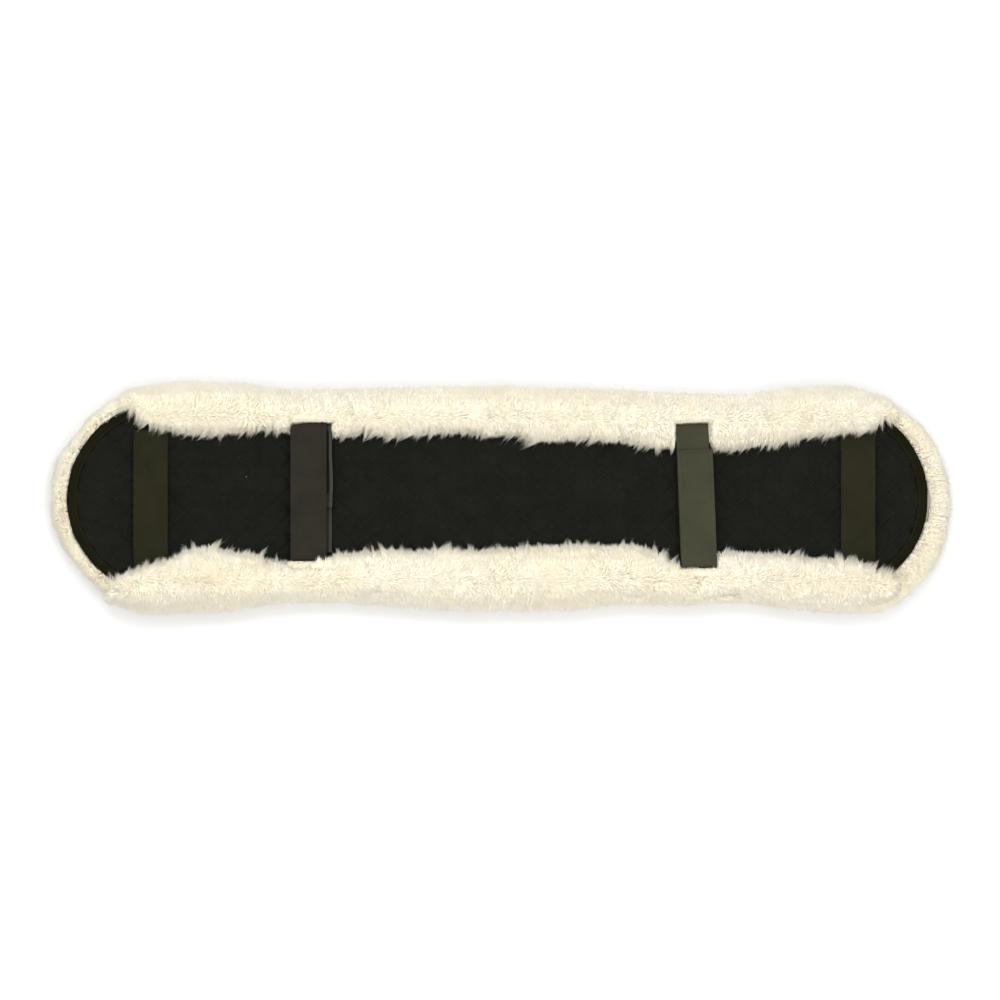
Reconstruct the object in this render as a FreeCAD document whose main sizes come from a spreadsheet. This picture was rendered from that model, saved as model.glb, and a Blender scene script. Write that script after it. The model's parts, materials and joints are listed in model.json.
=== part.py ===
import FreeCAD, Part
import math
import os
import Sketcher

# A sheepskin girth sleeve, lying wool side down with the side that takes the girth facing up.
# +X runs along the sleeve, +Y across it towards the rear roll, +Z up. The origin is the middle of
# the bottom of the wool. Lengths are millimetres and turns are degrees.
#
# From the bottom up: wool pile, its hide, a quilted panel with bound round ends, a sheepskin roll
# along each long side, two sewn keepers near the ends, and two hook-and-loop straps between them.
# Each strap is one webbing band: sewn down across the panel, folded back at the rear as a short
# return with loop tape on it, and folded back at the front as the flap that closes over it.

SIZES = [
    ("pile_radius", 98, "end radius of the wool's outline"),
    ("pile_spacing", 298, "wool's arc centres, from the middle"),
    ("pile_rim_top", 26, "top of the wool that stands round the panel"),
    ("pile_round", 12, "rounding of the wool's lower edge"),
    ("rim_round", 3, "rounding of the wool's upper edge"),
    ("panel_radius", 84, "end radius of hide, lining, wadding and face cloth"),
    ("panel_spacing", 294, "the panel's arc centres, from the middle"),
    ("panel_clear", 85.2, "inner radius of the wool's rim"),
    ("hide_low", 22, "underside of the hide"),
    ("lining_low", 23.2, "underside of the quilt lining"),
    ("wadding_low", 23.7, "underside of the wadding"),
    ("face_low", 27.7, "underside of the face cloth"),
    ("face_top", 28.5, "top of the face cloth"),
    ("thread_top", 28.7, "top of the first set of quilting threads"),
    ("bed", 28.9, "top of the second set, where tapes and rolls lie"),
    ("quilt_pitch", 24, "length of a quilted diamond along X"),
    ("quilt_thread", 0.5, "width of a quilting thread"),
    ("quilt_reach", 124, "half length of a quilting thread before trimming"),
    ("quilt_radius", 83.5, "end radius of the quilted field"),
    ("roll_toe", 49, "inner foot of a roll, from the middle"),
    ("roll_seam", 62, "inner edge of a roll's hide, from the middle"),
    ("roll_crown", 81, "crown of a roll, from the middle"),
    ("roll_top", 44, "top of a roll"),
    ("roll_hide_top", 30.1, "top of a roll's hide"),
    ("roll_right", 350, "right end of both rolls"),
    ("rear_roll_left", -329, "left end of the rear roll"),
    ("front_roll_left", -342, "left end of the front roll"),
    ("seam_line", 66, "roll seam, from the middle"),
    ("seam_thread", 0.6, "width of the roll seam's thread"),
    ("seam_top", 30.5, "top of the roll seam's thread"),
    ("seam_inset", 12, "distance from a roll's end to its seam's end"),
    ("binding_inner", 76, "inner radius of the binding's two laps"),
    ("binding_outer", 84.9, "outer radius of the binding"),
    ("binding_low", 21.1, "underside of the binding"),
    ("binding_top", 29.8, "top of the binding"),
    ("left_binding_start", 107, "angle at which the left binding starts"),
    ("left_binding_sweep", 132, "angle that the left binding covers"),
    ("right_binding_start", -54, "angle at which the right binding starts"),
    ("right_binding_sweep", 106, "angle that the right binding covers"),
    ("stitch_ring", 77.6, "radius of the binding's row of stitches"),
    ("stitch_long", 3, "length of a stitch"),
    ("stitch_half", 1.5, "half the length of a stitch"),
    ("stitch_wide", 0.6, "width of a stitch"),
    ("stitch_high", 0.3, "height of a stitch above what it holds"),
    ("web_half", 15, "half the width of the webbing"),
    ("web_top", 30.3, "top of webbing that lies flat on the panel"),
    ("left_keeper_x", -305, "middle of the left keeper"),
    ("right_keeper_x", 317, "middle of the right keeper"),
    ("keeper_end", 60.5, "end of a keeper, from the middle"),
    ("keeper_foot", 54, "inner edge of a keeper's sewn end"),
    ("keeper_shoulder", 43, "where a keeper's bridge begins"),
    ("keeper_low", 34.6, "underside of a keeper's bridge"),
    ("keeper_top", 36, "top of a keeper's bridge"),
    ("shoulder_shift", 0.6, "shift of the upper corner of a bend in a keeper"),
    ("tack_inner", 56, "inner bar tack, from the middle"),
    ("tack_outer", 58.6, "outer bar tack, from the middle"),
    ("tack_half", 13, "half the length of a bar tack"),
    ("tack_wide", 1, "width of a bar tack"),
    ("notch_half", 15.5, "half the width of a roll's notch over a keeper"),
    ("left_strap_x", -161, "middle of the left strap's sewn band"),
    ("right_strap_x", 173.5, "middle of the right strap's sewn band"),
    ("left_strap_turn", 0, "turn of the left strap"),
    ("right_strap_turn", 2.2, "turn of the right strap"),
    ("left_flap_shift", -5, "sideways offset of the left flap from its band"),
    ("right_flap_shift", 1.2, "sideways offset of the right flap from its band"),
    ("left_hinge", -51, "fold line of the left flap"),
    ("right_hinge", -57.6, "fold line of the right flap"),
    ("left_flap_end", 66.5, "free end of the left flap"),
    ("right_flap_end", 43, "free end of the right flap"),
    ("hinge_gap", 3.2, "distance from a fold line to the end of its band"),
    ("band_flat", 41, "half the length of a band's sewn stretch"),
    ("band_rise", 56, "where the band levels out over the rear roll"),
    ("rise_low", 33, "underside of a band over the rolls"),
    ("rise_top", 34.4, "top of a band over the rolls"),
    ("fold_centre", 64.1, "middle of the band's rear fold"),
    ("return_end", 0, "free end of a band's return"),
    ("return_low", 35.4, "underside of a band's return"),
    ("return_top", 36.8, "top of a band's return"),
    ("loop_start", 4, "front end of the loop tape"),
    ("left_loop_end", 60, "rear end of the left loop tape"),
    ("right_loop_end", 41, "rear end of the right loop tape, under its shorter flap"),
    ("loop_top", 37.5, "top of the loop tape"),
    ("hook_low", 37.8, "underside of the hook tape"),
    ("hook_length", 45, "length of the hook tape"),
    ("tape_inset", 2, "distance from a flap's end to its hook tape"),
    ("tape_half", 13, "half the width of the hook and loop tapes"),
    ("flap_low", 38.5, "underside of a flap"),
    ("flap_top", 39.9, "top of a flap"),
    ("box_inner", 33, "inner edge of a box stitch, from the middle"),
    ("box_outer", 40, "outer edge of a box stitch, from the middle"),
    ("box_half", 12, "half the width of a box stitch"),
    ("dent_half", 20, "half the width of a strap's dent in a roll"),
    ("dent_step", 57, "where a strap's dent gets shallower"),
    ("dent_low", 32.8, "floor of the shallow part of a dent"),
    ("dent_rear", 67.5, "rear end of a dent"),
    ("dent_reach", 10, "distance from a fold line to the front end of its dent"),
    ("above", 60, "height above every piece"),
]

QUILT_LINES = 18            # quilting threads each side of the middle one, in each direction
STITCH_ANGLE = 3.4          # degrees from one binding stitch to the next
STITCHES_COVERED = 4        # stitches left out at each end of a binding, where a roll covers it
NODES = []                  # the finished pieces, each an object whose Label is its name

doc = FreeCAD.newDocument("GirthSleeve")
sheet = doc.addObject("Spreadsheet::Sheet", "Sizes")
for row, (alias, value, meaning) in enumerate(SIZES, start=1):
    sheet.set(f"A{row}", meaning)
    sheet.set(f"B{row}", str(value))
    sheet.setAlias(f"B{row}", alias)
doc.recompute()
size = {alias: float(sheet.get(alias)) for alias, value, meaning in SIZES}


def formula(words):
    """Turns a sum of names, such as "bed + stitch_high", into a formula on the sheet."""
    return " ".join(f"Sizes.{word}" if word in size else word for word in words.split())


def amount(words):
    """Adds up a sum of names and numbers, such as "- keeper_foot + 2"."""
    total = 0.0
    sign = 1
    for word in words.split():
        if word in ("+", "-"):
            sign = 1 if word == "+" else -1
        else:
            total += sign * (size[word] if word in size else float(word))
    return total


def place(item, x="0", y="0", z="0", turn="0"):
    """Binds an object's Placement: a shift, and a turn about Z."""
    item.setExpression("Placement.Base.x", formula(x))
    item.setExpression("Placement.Base.y", formula(y))
    item.setExpression("Placement.Base.z", formula(z))
    item.setExpression("Placement.Rotation.Angle", formula(turn))
    return item


def keep(item):
    """Counts a finished object as one of the sleeve's pieces."""
    NODES.append(item)
    return item


def fix(sketch, kind, side, end, words):
    """Sets one coordinate of a point of a sketch, measured from the sketch's origin."""
    number = sketch.addConstraint(Sketcher.Constraint(kind, -1, 1, side, end, amount(words)))
    sketch.setExpression(f"Constraints[{number}]", formula(words))


def new_sketch(body, role, offset):
    """Starts a sketch on one of its body's own planes, at an offset along the plane's normal."""
    sketch = body.newObject("Sketcher::SketchObject", body.Name + "_outline")
    plane = [item for item in body.Origin.OriginFeatures if item.Role == role][0]
    sketch.AttachmentSupport = [(plane, "")]
    sketch.MapMode = "FlatFace"
    sketch.setExpression("AttachmentOffset.Base.z", formula(offset))
    return sketch


def add_pad(body, sketch, length):
    """Pads a body's sketch along its plane's normal."""
    pad = body.newObject("PartDesign::Pad", body.Name + "_pad")
    pad.Profile = sketch
    pad.setExpression("Length", formula(length))
    return pad


def stadium(label, radius, spacing, low, high):
    """A level slab with two straight sides and half-round ends."""
    body = doc.addObject("PartDesign::Body", label)
    sketch = new_sketch(body, "XY_Plane", low)
    across = amount(radius)
    along = amount(spacing)
    up = FreeCAD.Vector(0, 0, 1)
    right = Part.Circle(FreeCAD.Vector(along, 0, 0), up, across)
    left = Part.Circle(FreeCAD.Vector(-along, 0, 0), up, across)
    quarter = math.pi / 2
    places = ((-along, -across), (along, -across), (along, across), (-along, across))
    corners = [FreeCAD.Vector(x, y, 0) for x, y in places]
    sketch.addGeometry(Part.LineSegment(corners[0], corners[1]))
    sketch.addGeometry(Part.ArcOfCircle(right, -quarter, quarter))
    sketch.addGeometry(Part.LineSegment(corners[2], corners[3]))
    sketch.addGeometry(Part.ArcOfCircle(left, quarter, 3 * quarter))
    for side in range(4):
        sketch.addConstraint(Sketcher.Constraint("Tangent", side, 2, (side + 1) % 4, 1))
    number = sketch.addConstraint(Sketcher.Constraint("Radius", 1, across))
    sketch.setExpression(f"Constraints[{number}]", formula(radius))
    fix(sketch, "DistanceX", 1, 3, spacing)
    fix(sketch, "DistanceX", 3, 3, "- " + spacing)
    sketch.addConstraint(Sketcher.Constraint("PointOnObject", 1, 3, -1))
    sketch.addConstraint(Sketcher.Constraint("PointOnObject", 3, 3, -1))
    add_pad(body, sketch, f"{high} - {low}")
    return body


def prism(label, corners, start, length, arcs=None):
    """Extrudes along X an outline of (y, z) corners. arcs names the sides that are curved, each by
    the y of its centre and by whether the outline runs counter-clockwise round that centre."""
    arcs = arcs or {}
    body = doc.addObject("PartDesign::Body", label)
    sketch = new_sketch(body, "YZ_Plane", start)
    points = [FreeCAD.Vector(amount(y), amount(z), 0) for y, z in corners]
    ends = []
    for side, first in enumerate(points):
        second = points[(side + 1) % len(points)]
        if side not in arcs:
            sketch.addGeometry(Part.LineSegment(first, second))
            ends.append((1, 2))
            continue
        middle, counter = arcs[side]
        across = amount(middle)
        height = (second.y ** 2 - first.y ** 2 + (second.x - across) ** 2 - (first.x - across) ** 2)
        height /= 2 * (second.y - first.y)
        centre = FreeCAD.Vector(across, height, 0)
        turns = [math.atan2(point.y - height, point.x - across) for point in (first, second)]
        if not counter:
            turns.reverse()
        circle = Part.Circle(centre, FreeCAD.Vector(0, 0, 1), (first - centre).Length)
        sketch.addGeometry(Part.ArcOfCircle(circle, turns[0], turns[1]))
        ends.append((1, 2) if counter else (2, 1))
    for side, (y, z) in enumerate(corners):
        sketch.addConstraint(Sketcher.Constraint(
            "Coincident", (side - 1) % len(corners), ends[side - 1][1], side, ends[side][0]))
        fix(sketch, "DistanceX", side, ends[side][0], y)
        fix(sketch, "DistanceY", side, ends[side][0], z)
        if side in arcs:
            fix(sketch, "DistanceX", side, 3, arcs[side][0])
    add_pad(body, sketch, length)
    return body


def block(label, x, y, z):
    """A box, each of whose sides is given as (low, high)."""
    item = doc.addObject("Part::Box", label)
    for name, (low, high) in zip(("Length", "Width", "Height"), (x, y, z)):
        flipped = " ".join({"+": "-", "-": "+"}.get(word, word) for word in low.split())
        flipped = flipped if flipped[0] in "+-" else "- " + flipped
        item.setExpression(name, formula(f"{high} {flipped}"))
    return place(item, x[0], y[0], z[0])


def group(label, items):
    """Holds several solids together as one object."""
    item = doc.addObject("Part::Compound", label)
    item.Links = items
    return item


def cut(label, base, tool):
    """Takes one object out of another."""
    item = doc.addObject("Part::Cut", label)
    item.Base = base
    item.Tool = tool
    return item


def common(label, base, tool):
    """Keeps what two objects share."""
    item = doc.addObject("Part::Common", label)
    item.Base = base
    item.Tool = tool
    return item


def sector(label, side, radius, low, high, start, sweep):
    """Part of an upright cylinder about one of the panel's arc centres."""
    item = doc.addObject("Part::Cylinder", label)
    item.setExpression("Radius", formula(radius))
    item.setExpression("Height", formula(f"{high} - {low}"))
    item.setExpression("Angle", formula(sweep))
    return place(item, f"{side} panel_spacing", "0", low, start)


def end_binding(name, side):
    """Folded tape round one end of the panel: a channel that holds the panel's edge."""
    start = f"{name}_binding_start"
    sweep = f"{name}_binding_sweep"
    outer = sector(f"{name}_binding_outer", side, "binding_outer", "binding_low", "binding_top", start, sweep)
    inner = sector(f"{name}_binding_inner", side, "binding_inner", "binding_low", "binding_top", start, sweep)
    slot = sector(f"{name}_binding_slot", side, "panel_radius", "hide_low", "bed", start, sweep)
    ring = cut(f"{name}_binding_ring", outer, inner)
    return keep(cut(f"{name}_end_binding", ring, slot))


def binding_stitches(name, side):
    """A row of stitches along the inner edge of a binding's upper lap, where no roll covers it."""
    steps = int(size[f"{name}_binding_sweep"] / STITCH_ANGLE)
    stitches = []
    for step in range(STITCHES_COVERED, steps + 1 - STITCHES_COVERED):
        stitch = block(f"{name}_binding_stitch", ("0", "stitch_wide"), ("0", "stitch_long"),
                       ("0", "stitch_high"))
        angle = f"(Sizes.{name}_binding_start + {step * STITCH_ANGLE:.1f})"
        outward = f"Sizes.stitch_ring * cos({angle}) + Sizes.stitch_half * sin({angle})"
        sideways = f"Sizes.stitch_ring * sin({angle}) - Sizes.stitch_half * cos({angle})"
        stitch.setExpression("Placement.Base.x", f"{side} Sizes.panel_spacing + {outward}")
        stitch.setExpression("Placement.Base.y", sideways)
        stitch.setExpression("Placement.Base.z", "Sizes.binding_top")
        stitch.setExpression("Placement.Rotation.Angle", angle)
        stitches.append(stitch)
    return keep(group(f"{name}_binding_stitches", stitches))


def quilting_threads():
    """Two crossing sets of threads that make the diamonds, trimmed to the panel."""
    threads = []
    for turn, low, high in ((45, "face_top", "thread_top"), (-45, "thread_top", "bed")):
        for line in range(-QUILT_LINES, QUILT_LINES + 1):
            thread = block("quilting_thread", ("0", "quilt_thread"), ("0", "quilt_reach"), (low, high))
            thread.setExpression("Width", "2 * Sizes.quilt_reach")
            lean = f"Sizes.quilt_reach * sin({turn})"
            thread.setExpression("Placement.Base.x", f"{line} * Sizes.quilt_pitch + {lean}")
            thread.setExpression("Placement.Base.y", f"-Sizes.quilt_reach * cos({turn})")
            thread.setExpression("Placement.Rotation.Angle", str(turn))
            threads.append(thread)
    field = stadium("quilted_field", "quilt_radius", "panel_spacing", "face_top", "bed")
    return keep(common("quilting_threads", group("all_quilting_threads", threads), field))


def roll_seam(name, side):
    """The thread that sews a roll's hide to the panel."""
    line = f"{side} seam_line"
    far = f"{side} seam_line {side} seam_thread"
    low, high = (line, far) if side == "+" else (far, line)
    ends = (f"{name}_roll_left + seam_inset", "roll_right - seam_inset")
    return keep(block(f"{name}_roll_seam", ends, (low, high), ("roll_hide_top", "seam_top")))


def roll_hide(name, side, bindings):
    """The flat hide of a roll, trimmed to the panel's edge."""
    edges = (f"{side} roll_seam", f"{side} panel_radius")
    low, high = edges if side == "+" else edges[::-1]
    strip = block(f"{name}_roll_strip", (f"{name}_roll_left", "roll_right"), (low, high),
                  ("bed", "roll_hide_top"))
    outline = stadium(f"{name}_roll_hide_outline", "panel_radius", "panel_spacing", "bed", "roll_hide_top")
    trimmed = common(f"{name}_roll_trimmed", strip, outline)
    return keep(cut(f"{name}_roll_hide", trimmed, bindings))


def roll_dents(name, side):
    """The room that one roll leaves for the keepers and the straps."""
    rooms = []
    for end in ("left", "right"):
        low, high = ("0", "keeper_end + 0.3") if side == "+" else ("- keeper_end - 0.3", "0")
        middle = f"{end}_keeper_x"
        rooms.append(block(f"{name}_{end}_keeper_room", (f"{middle} - notch_half", f"{middle} + notch_half"),
                           (low, high), ("bed", "above")))
        deep = ("0", "dent_step") if side == "+" else (f"{end}_hinge - 0.3", "0")
        shallow = ("0", "dent_rear") if side == "+" else (f"{end}_hinge - dent_reach", "0")
        for depth, reach, floor in (("deep", deep, "bed"), ("shallow", shallow, "dent_low")):
            room = prism(
                f"{name}_{end}_{depth}_room",
                [(reach[0], floor), (reach[1], floor), (reach[1], "above"), (reach[0], "above")],
                f"{end}_flap_shift - dent_half", "dent_half + dent_half")
            rooms.append(place(room, f"{end}_strap_x", turn=f"{end}_strap_turn"))
    return rooms


def roll_wool(name, side, bindings, seam):
    """The wool of a roll: a low dome that overhangs the panel's edge, with room for what it meets."""
    corners = [
        (f"{side} roll_toe", "bed"),
        (f"{side} roll_seam", "bed"),
        (f"{side} roll_seam", "roll_hide_top"),
        (f"{side} panel_radius", "roll_hide_top"),
        (f"{side} panel_radius", "pile_rim_top"),
        (f"{side} pile_radius", "pile_rim_top"),
        (f"{side} roll_crown", "roll_top"),
    ]
    counter = side == "+"
    crown = f"{side} roll_crown"
    length = f"roll_right - {name}_roll_left"
    dome = prism(f"{name}_roll_dome", corners, f"{name}_roll_left", length,
                 {5: (crown, counter), 6: (crown, counter)})
    outline = stadium(f"{name}_roll_outline", "pile_radius", "pile_spacing", "pile_rim_top", "above")
    trimmed = common(f"{name}_roll_body", dome, outline)
    rooms = group(f"{name}_roll_rooms", roll_dents(name, side) + [bindings, seam])
    return keep(cut(f"{name}_roll_wool", trimmed, rooms))


def keeper(name):
    """A webbing bridge over the girth's channel, sewn down at both ends."""
    rise = "keeper_shoulder - shoulder_shift"
    foot = "keeper_foot - shoulder_shift"
    front_rise = "- keeper_shoulder + shoulder_shift"
    front_foot = "- keeper_foot + shoulder_shift"
    corners = [
        ("- keeper_end", "bed"), ("- keeper_foot", "bed"), ("- keeper_shoulder", "keeper_low"),
        ("keeper_shoulder", "keeper_low"), ("keeper_foot", "bed"), ("keeper_end", "bed"),
        ("keeper_end", "web_top"), (foot, "web_top"), (rise, "keeper_top"),
        (front_rise, "keeper_top"), (front_foot, "web_top"), ("- keeper_end", "web_top"),
    ]
    body = prism(f"{name}_outer_keeper", corners, "- web_half", "web_half + web_half")
    keep(place(body, f"{name}_keeper_x"))
    tacks = []
    for line in ("tack_inner", "tack_outer"):
        for low, high in ((line, f"{line} + tack_wide"), (f"- {line} - tack_wide", f"- {line}")):
            tacks.append(block(f"{name}_keeper_tack", ("- tack_half", "tack_half"), (low, high),
                               ("web_top", "web_top + stitch_high")))
    keep(place(group(f"{name}_keeper_tacks", tacks), f"{name}_keeper_x"))


def box_stitch(label, half, rows, low):
    """Four straight rows of stitching in a rectangle, as four bars that meet at the corners."""
    front, rear = rows
    height = (low, f"{low} + stitch_high")
    bars = []
    for line in (front, rear):
        bars.append(block(label, (f"- {half}", half), (line, f"{line} + stitch_wide"), height))
    for line in (f"- {half}", f"{half} - stitch_wide"):
        bars.append(block(label, (line, f"{line} + stitch_wide"), (f"{front} + stitch_wide", rear), height))
    return bars


def sewn_band(name):
    """A strap's fixed part: sewn across the panel, rising over both rolls, folded back at the rear."""
    front = f"{name}_hinge + hinge_gap"
    corners = [
        (front, "rise_low"), ("- band_flat", "bed"), ("band_flat", "bed"), ("band_rise", "rise_low"),
        ("fold_centre", "rise_low"), ("fold_centre", "return_top"), ("return_end", "return_top"),
        ("return_end", "return_low"), ("fold_centre", "return_low"), ("fold_centre", "rise_top"),
        ("band_rise", "rise_top"), ("band_flat", "web_top"), ("- band_flat", "web_top"), (front, "rise_top"),
    ]
    folds = {4: ("fold_centre", True), 8: ("fold_centre", False)}
    body = prism(f"{name}_sewn_band", corners, "- web_half", "web_half + web_half", folds)
    keep(place(body, f"{name}_strap_x", turn=f"{name}_strap_turn"))
    bars = box_stitch(f"{name}_band_stitch", "box_half", ("box_inner", "box_outer"), "web_top")
    bars += box_stitch(f"{name}_band_stitch", "box_half", ("- box_outer", "- box_inner"), "web_top")
    stitches = group(f"{name}_band_stitches", bars)
    keep(place(stitches, f"{name}_strap_x", turn=f"{name}_strap_turn"))
    end = f"{name}_loop_end"
    outline = [("loop_start", "return_top"), (end, "return_top"), (end, "loop_top"), ("loop_start", "loop_top")]
    tape = prism(f"{name}_loop_tape", outline, "- tape_half", "tape_half + tape_half")
    keep(place(tape, f"{name}_strap_x", turn=f"{name}_strap_turn"))


def flap(name):
    """A strap's moving part: it turns about the front fold, and its hook tape lies on the loop tape."""
    fold = f"{name}_hinge"
    end = f"{name}_flap_end"
    shift = f"{name}_flap_shift"
    corners = [
        (fold, "rise_low"), (fold, "rise_top"), (fold, "flap_low"), (end, "flap_low"), (end, "flap_top"),
        (fold, "flap_top"),
    ]
    folds = {1: (fold, False), 5: (fold, True)}
    body = prism(f"{name}_flap", corners, f"{shift} - web_half", "web_half + web_half", folds)
    keep(place(body, f"{name}_strap_x", turn=f"{name}_strap_turn"))
    near = f"{end} - tape_inset - hook_length"
    far = f"{end} - tape_inset"
    outline = [(near, "hook_low"), (far, "hook_low"), (far, "flap_low"), (near, "flap_low")]
    tape = prism(f"{name}_hook_tape", outline, f"{shift} - tape_half", "tape_half + tape_half")
    keep(place(tape, f"{name}_strap_x", turn=f"{name}_strap_turn"))
    bars = box_stitch(f"{name}_flap_stitch", "box_half", (near, f"{far} - stitch_wide"), "flap_top")
    inner = place(group(f"{name}_flap_stitch_box", bars), shift)
    stitches = group(f"{name}_flap_stitches", [inner])
    keep(place(stitches, f"{name}_strap_x", turn=f"{name}_strap_turn"))


def underside_wool(bindings):
    """The pile that lies on the horse: a rounded slab with a rim that stands round the panel."""
    slab = stadium("pile_slab", "pile_radius", "pile_spacing", "0", "pile_rim_top")
    doc.recompute()
    previous = slab.Tip
    for role, level in (("pile_round", 0.0), ("rim_round", size["pile_rim_top"])):
        edges = [f"Edge{number}" for number, edge in enumerate(previous.Shape.Edges, start=1)
                 if abs(edge.BoundBox.ZMin - level) < 1e-6 and abs(edge.BoundBox.ZMax - level) < 1e-6]
        fillet = slab.newObject("PartDesign::Fillet", "pile_" + role)
        fillet.Base = (previous, edges)
        fillet.setExpression("Radius", formula(role))
        doc.recompute()
        previous = fillet
    seat = stadium("panel_seat", "panel_clear", "panel_spacing", "hide_low", "above")
    tray = cut("pile_tray", slab, seat)
    return keep(cut("underside_wool", tray, bindings))


def quilted_panel():
    """The hide and the three layers of the quilt, all cut to one outline."""
    levels = [("underside_hide", "hide_low", "lining_low"), ("quilt_lining", "lining_low", "wadding_low"),
              ("quilt_wadding", "wadding_low", "face_low"), ("quilt_face_cloth", "face_low", "face_top")]
    for label, low, high in levels:
        keep(stadium(label, "panel_radius", "panel_spacing", low, high))


bindings = group("both_bindings", [end_binding("left", "-"), end_binding("right", "+")])
underside_wool(bindings)
quilted_panel()
quilting_threads()
binding_stitches("left", "-")
binding_stitches("right", "+")
for name, side in (("rear", "+"), ("front", "-")):
    roll_hide(name, side, bindings)
    seam = roll_seam(name, side)
    roll_wool(name, side, bindings, seam)
for name in ("left", "right"):
    keeper(name)
    sewn_band(name)
    flap(name)
doc.recompute()

for item in doc.Objects:
    if "Invalid" in item.State or "Error" in item.State:
        raise RuntimeError(f"{item.Label} failed: {item.State}")
for node in NODES:
    if node.Shape.isNull() or not node.Shape.isValid() or not node.Shape.Solids:
        raise RuntimeError(f"{node.Label} has no valid solid")

os.makedirs("parts", exist_ok=True)
for node in NODES:
    node.Shape.exportStep(f"parts/{node.Label}.step")
    bounds = node.Shape.BoundBox
    print(f"{node.Label:24s} solids {len(node.Shape.Solids):3d} volume {node.Shape.Volume:11.1f}"
          f"  x {bounds.XMin:7.1f} {bounds.XMax:7.1f}  y {bounds.YMin:6.1f} {bounds.YMax:6.1f}"
          f"  z {bounds.ZMin:5.2f} {bounds.ZMax:5.2f}")
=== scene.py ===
import json
import math

import bmesh
import bpy
import numpy as np
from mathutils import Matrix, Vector


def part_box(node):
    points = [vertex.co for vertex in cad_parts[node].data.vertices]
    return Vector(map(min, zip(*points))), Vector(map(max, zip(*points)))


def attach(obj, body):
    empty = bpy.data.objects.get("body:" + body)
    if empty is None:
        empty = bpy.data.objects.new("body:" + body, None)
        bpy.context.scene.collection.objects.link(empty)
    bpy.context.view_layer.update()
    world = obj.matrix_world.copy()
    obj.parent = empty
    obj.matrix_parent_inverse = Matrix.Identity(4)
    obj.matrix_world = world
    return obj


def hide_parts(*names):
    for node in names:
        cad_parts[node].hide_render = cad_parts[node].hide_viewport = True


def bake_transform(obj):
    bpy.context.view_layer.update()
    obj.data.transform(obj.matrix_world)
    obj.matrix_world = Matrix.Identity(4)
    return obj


# A sheepskin girth sleeve, lying wool side down. The fleece is many tapered locks on soft lumpy cores, the
# panel is puffed in diamonds, and tapes and webbing are swept strips with real ribs, folds and stitches.
# Lengths are millimetres, and MM turns them into metres. Camera, lights and floor are set in metres.

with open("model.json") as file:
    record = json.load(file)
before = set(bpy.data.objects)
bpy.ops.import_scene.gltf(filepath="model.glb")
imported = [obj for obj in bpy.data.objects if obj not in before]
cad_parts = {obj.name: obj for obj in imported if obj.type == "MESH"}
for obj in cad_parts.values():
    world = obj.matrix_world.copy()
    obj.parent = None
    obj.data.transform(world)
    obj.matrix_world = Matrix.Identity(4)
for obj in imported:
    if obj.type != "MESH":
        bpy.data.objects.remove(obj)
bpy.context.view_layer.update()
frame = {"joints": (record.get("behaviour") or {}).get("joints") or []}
MM = 0.001


# ---------------------------------------------------------------- the frame, in millimetres

def box(node):
    """Lowest and highest corner of a CAD node, in millimetres."""
    low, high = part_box(node)
    return np.array(low) / MM, np.array(high) / MM


def spread(x, y=0.0, z=0.0):
    """Points from their x, y and z, each an array or one number for all."""
    return np.stack(np.broadcast_arrays(x, y, z), -1)


def axes(points):
    """The x, the y and the z of points, each an array."""
    return np.moveaxis(np.asarray(points, float), -1, 0)


def middle_x(node):
    """Middle of a node along X."""
    low, high = box(node)
    return (low[0] + high[0]) / 2


def joint(name):
    """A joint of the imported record: its point in millimetres, and its turn about Z."""
    found = [item for item in frame["joints"] if item["name"] == name][0]
    return np.array(found["pos_m"]) / MM, math.atan2(found["axis"][1], found["axis"][0])


class Strap:
    """Where one hook-and-loop strap lies, and its own measures. shift is how far its flap lies to one side of
    its band, bow is how far its return bows out, and edge_from is where the painted highlight along its
    band's edge begins."""

    def __init__(self, name, **own):
        hinge, turn = joint(f"{name}_strap_open")
        self.cos, self.sin = math.cos(turn), math.sin(turn)
        self.name = name
        self.middle = middle_x(f"{name}_band_stitches")
        self.hinge_y = hinge[1] / self.cos
        self.hinge_z = hinge[2]
        vars(self).update(own)

    def world(self, points):
        """Turns points of the strap's own frame into the part's frame."""
        x, y, z = axes(points)
        return spread(self.middle + x * self.cos - y * self.sin, x * self.sin + y * self.cos, z)

    def local(self, points):
        """Turns points of the part's frame into the strap's own frame."""
        x, y, z = axes(points)
        x = x - self.middle
        return spread(x * self.cos + y * self.sin, y * self.cos - x * self.sin, z)


# The panel and the pile under it are half circles of a radius, whose middles lie a spacing each side of the
# sleeve's middle, joined by straight sides.
PANEL_RADIUS = box("quilt_face_cloth")[1][1]
PANEL_SPACING = box("quilt_face_cloth")[1][0] - PANEL_RADIUS
PILE_RADIUS = box("underside_wool")[1][1]
PILE_SPACING = box("underside_wool")[1][0] - PILE_RADIUS
QUILT_PITCH = 24.0

# Webbing, and the heights at which it lies: on the panel, under and over a flap, over a return and a keeper.
WEB = 1.4
WEB_HALF = 15.0
FACE_TOP = box("quilt_face_cloth")[1][2]
BED = box("left_sewn_band")[0][2]
RISE_LOW = box("left_flap")[0][2]
FLAP_TOP = box("left_flap")[1][2]
RETURN_TOP = box("left_sewn_band")[1][2]
KEEPER_TOP = box("left_outer_keeper")[1][2]
KEEPERS = {name: middle_x(f"{name}_outer_keeper") for name in ("left", "right")}
# How far from the middle line a keeper's bridge ends, its foot starts and its foot ends, and where the fold
# at the rear of each strap has its middle and its end.
BRIDGE_END, FOOT_START, FOOT_END = 43.0, 54.0, 60.5
FOLD_MIDDLE, FOLD_END = 64.1, 66.2
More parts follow.
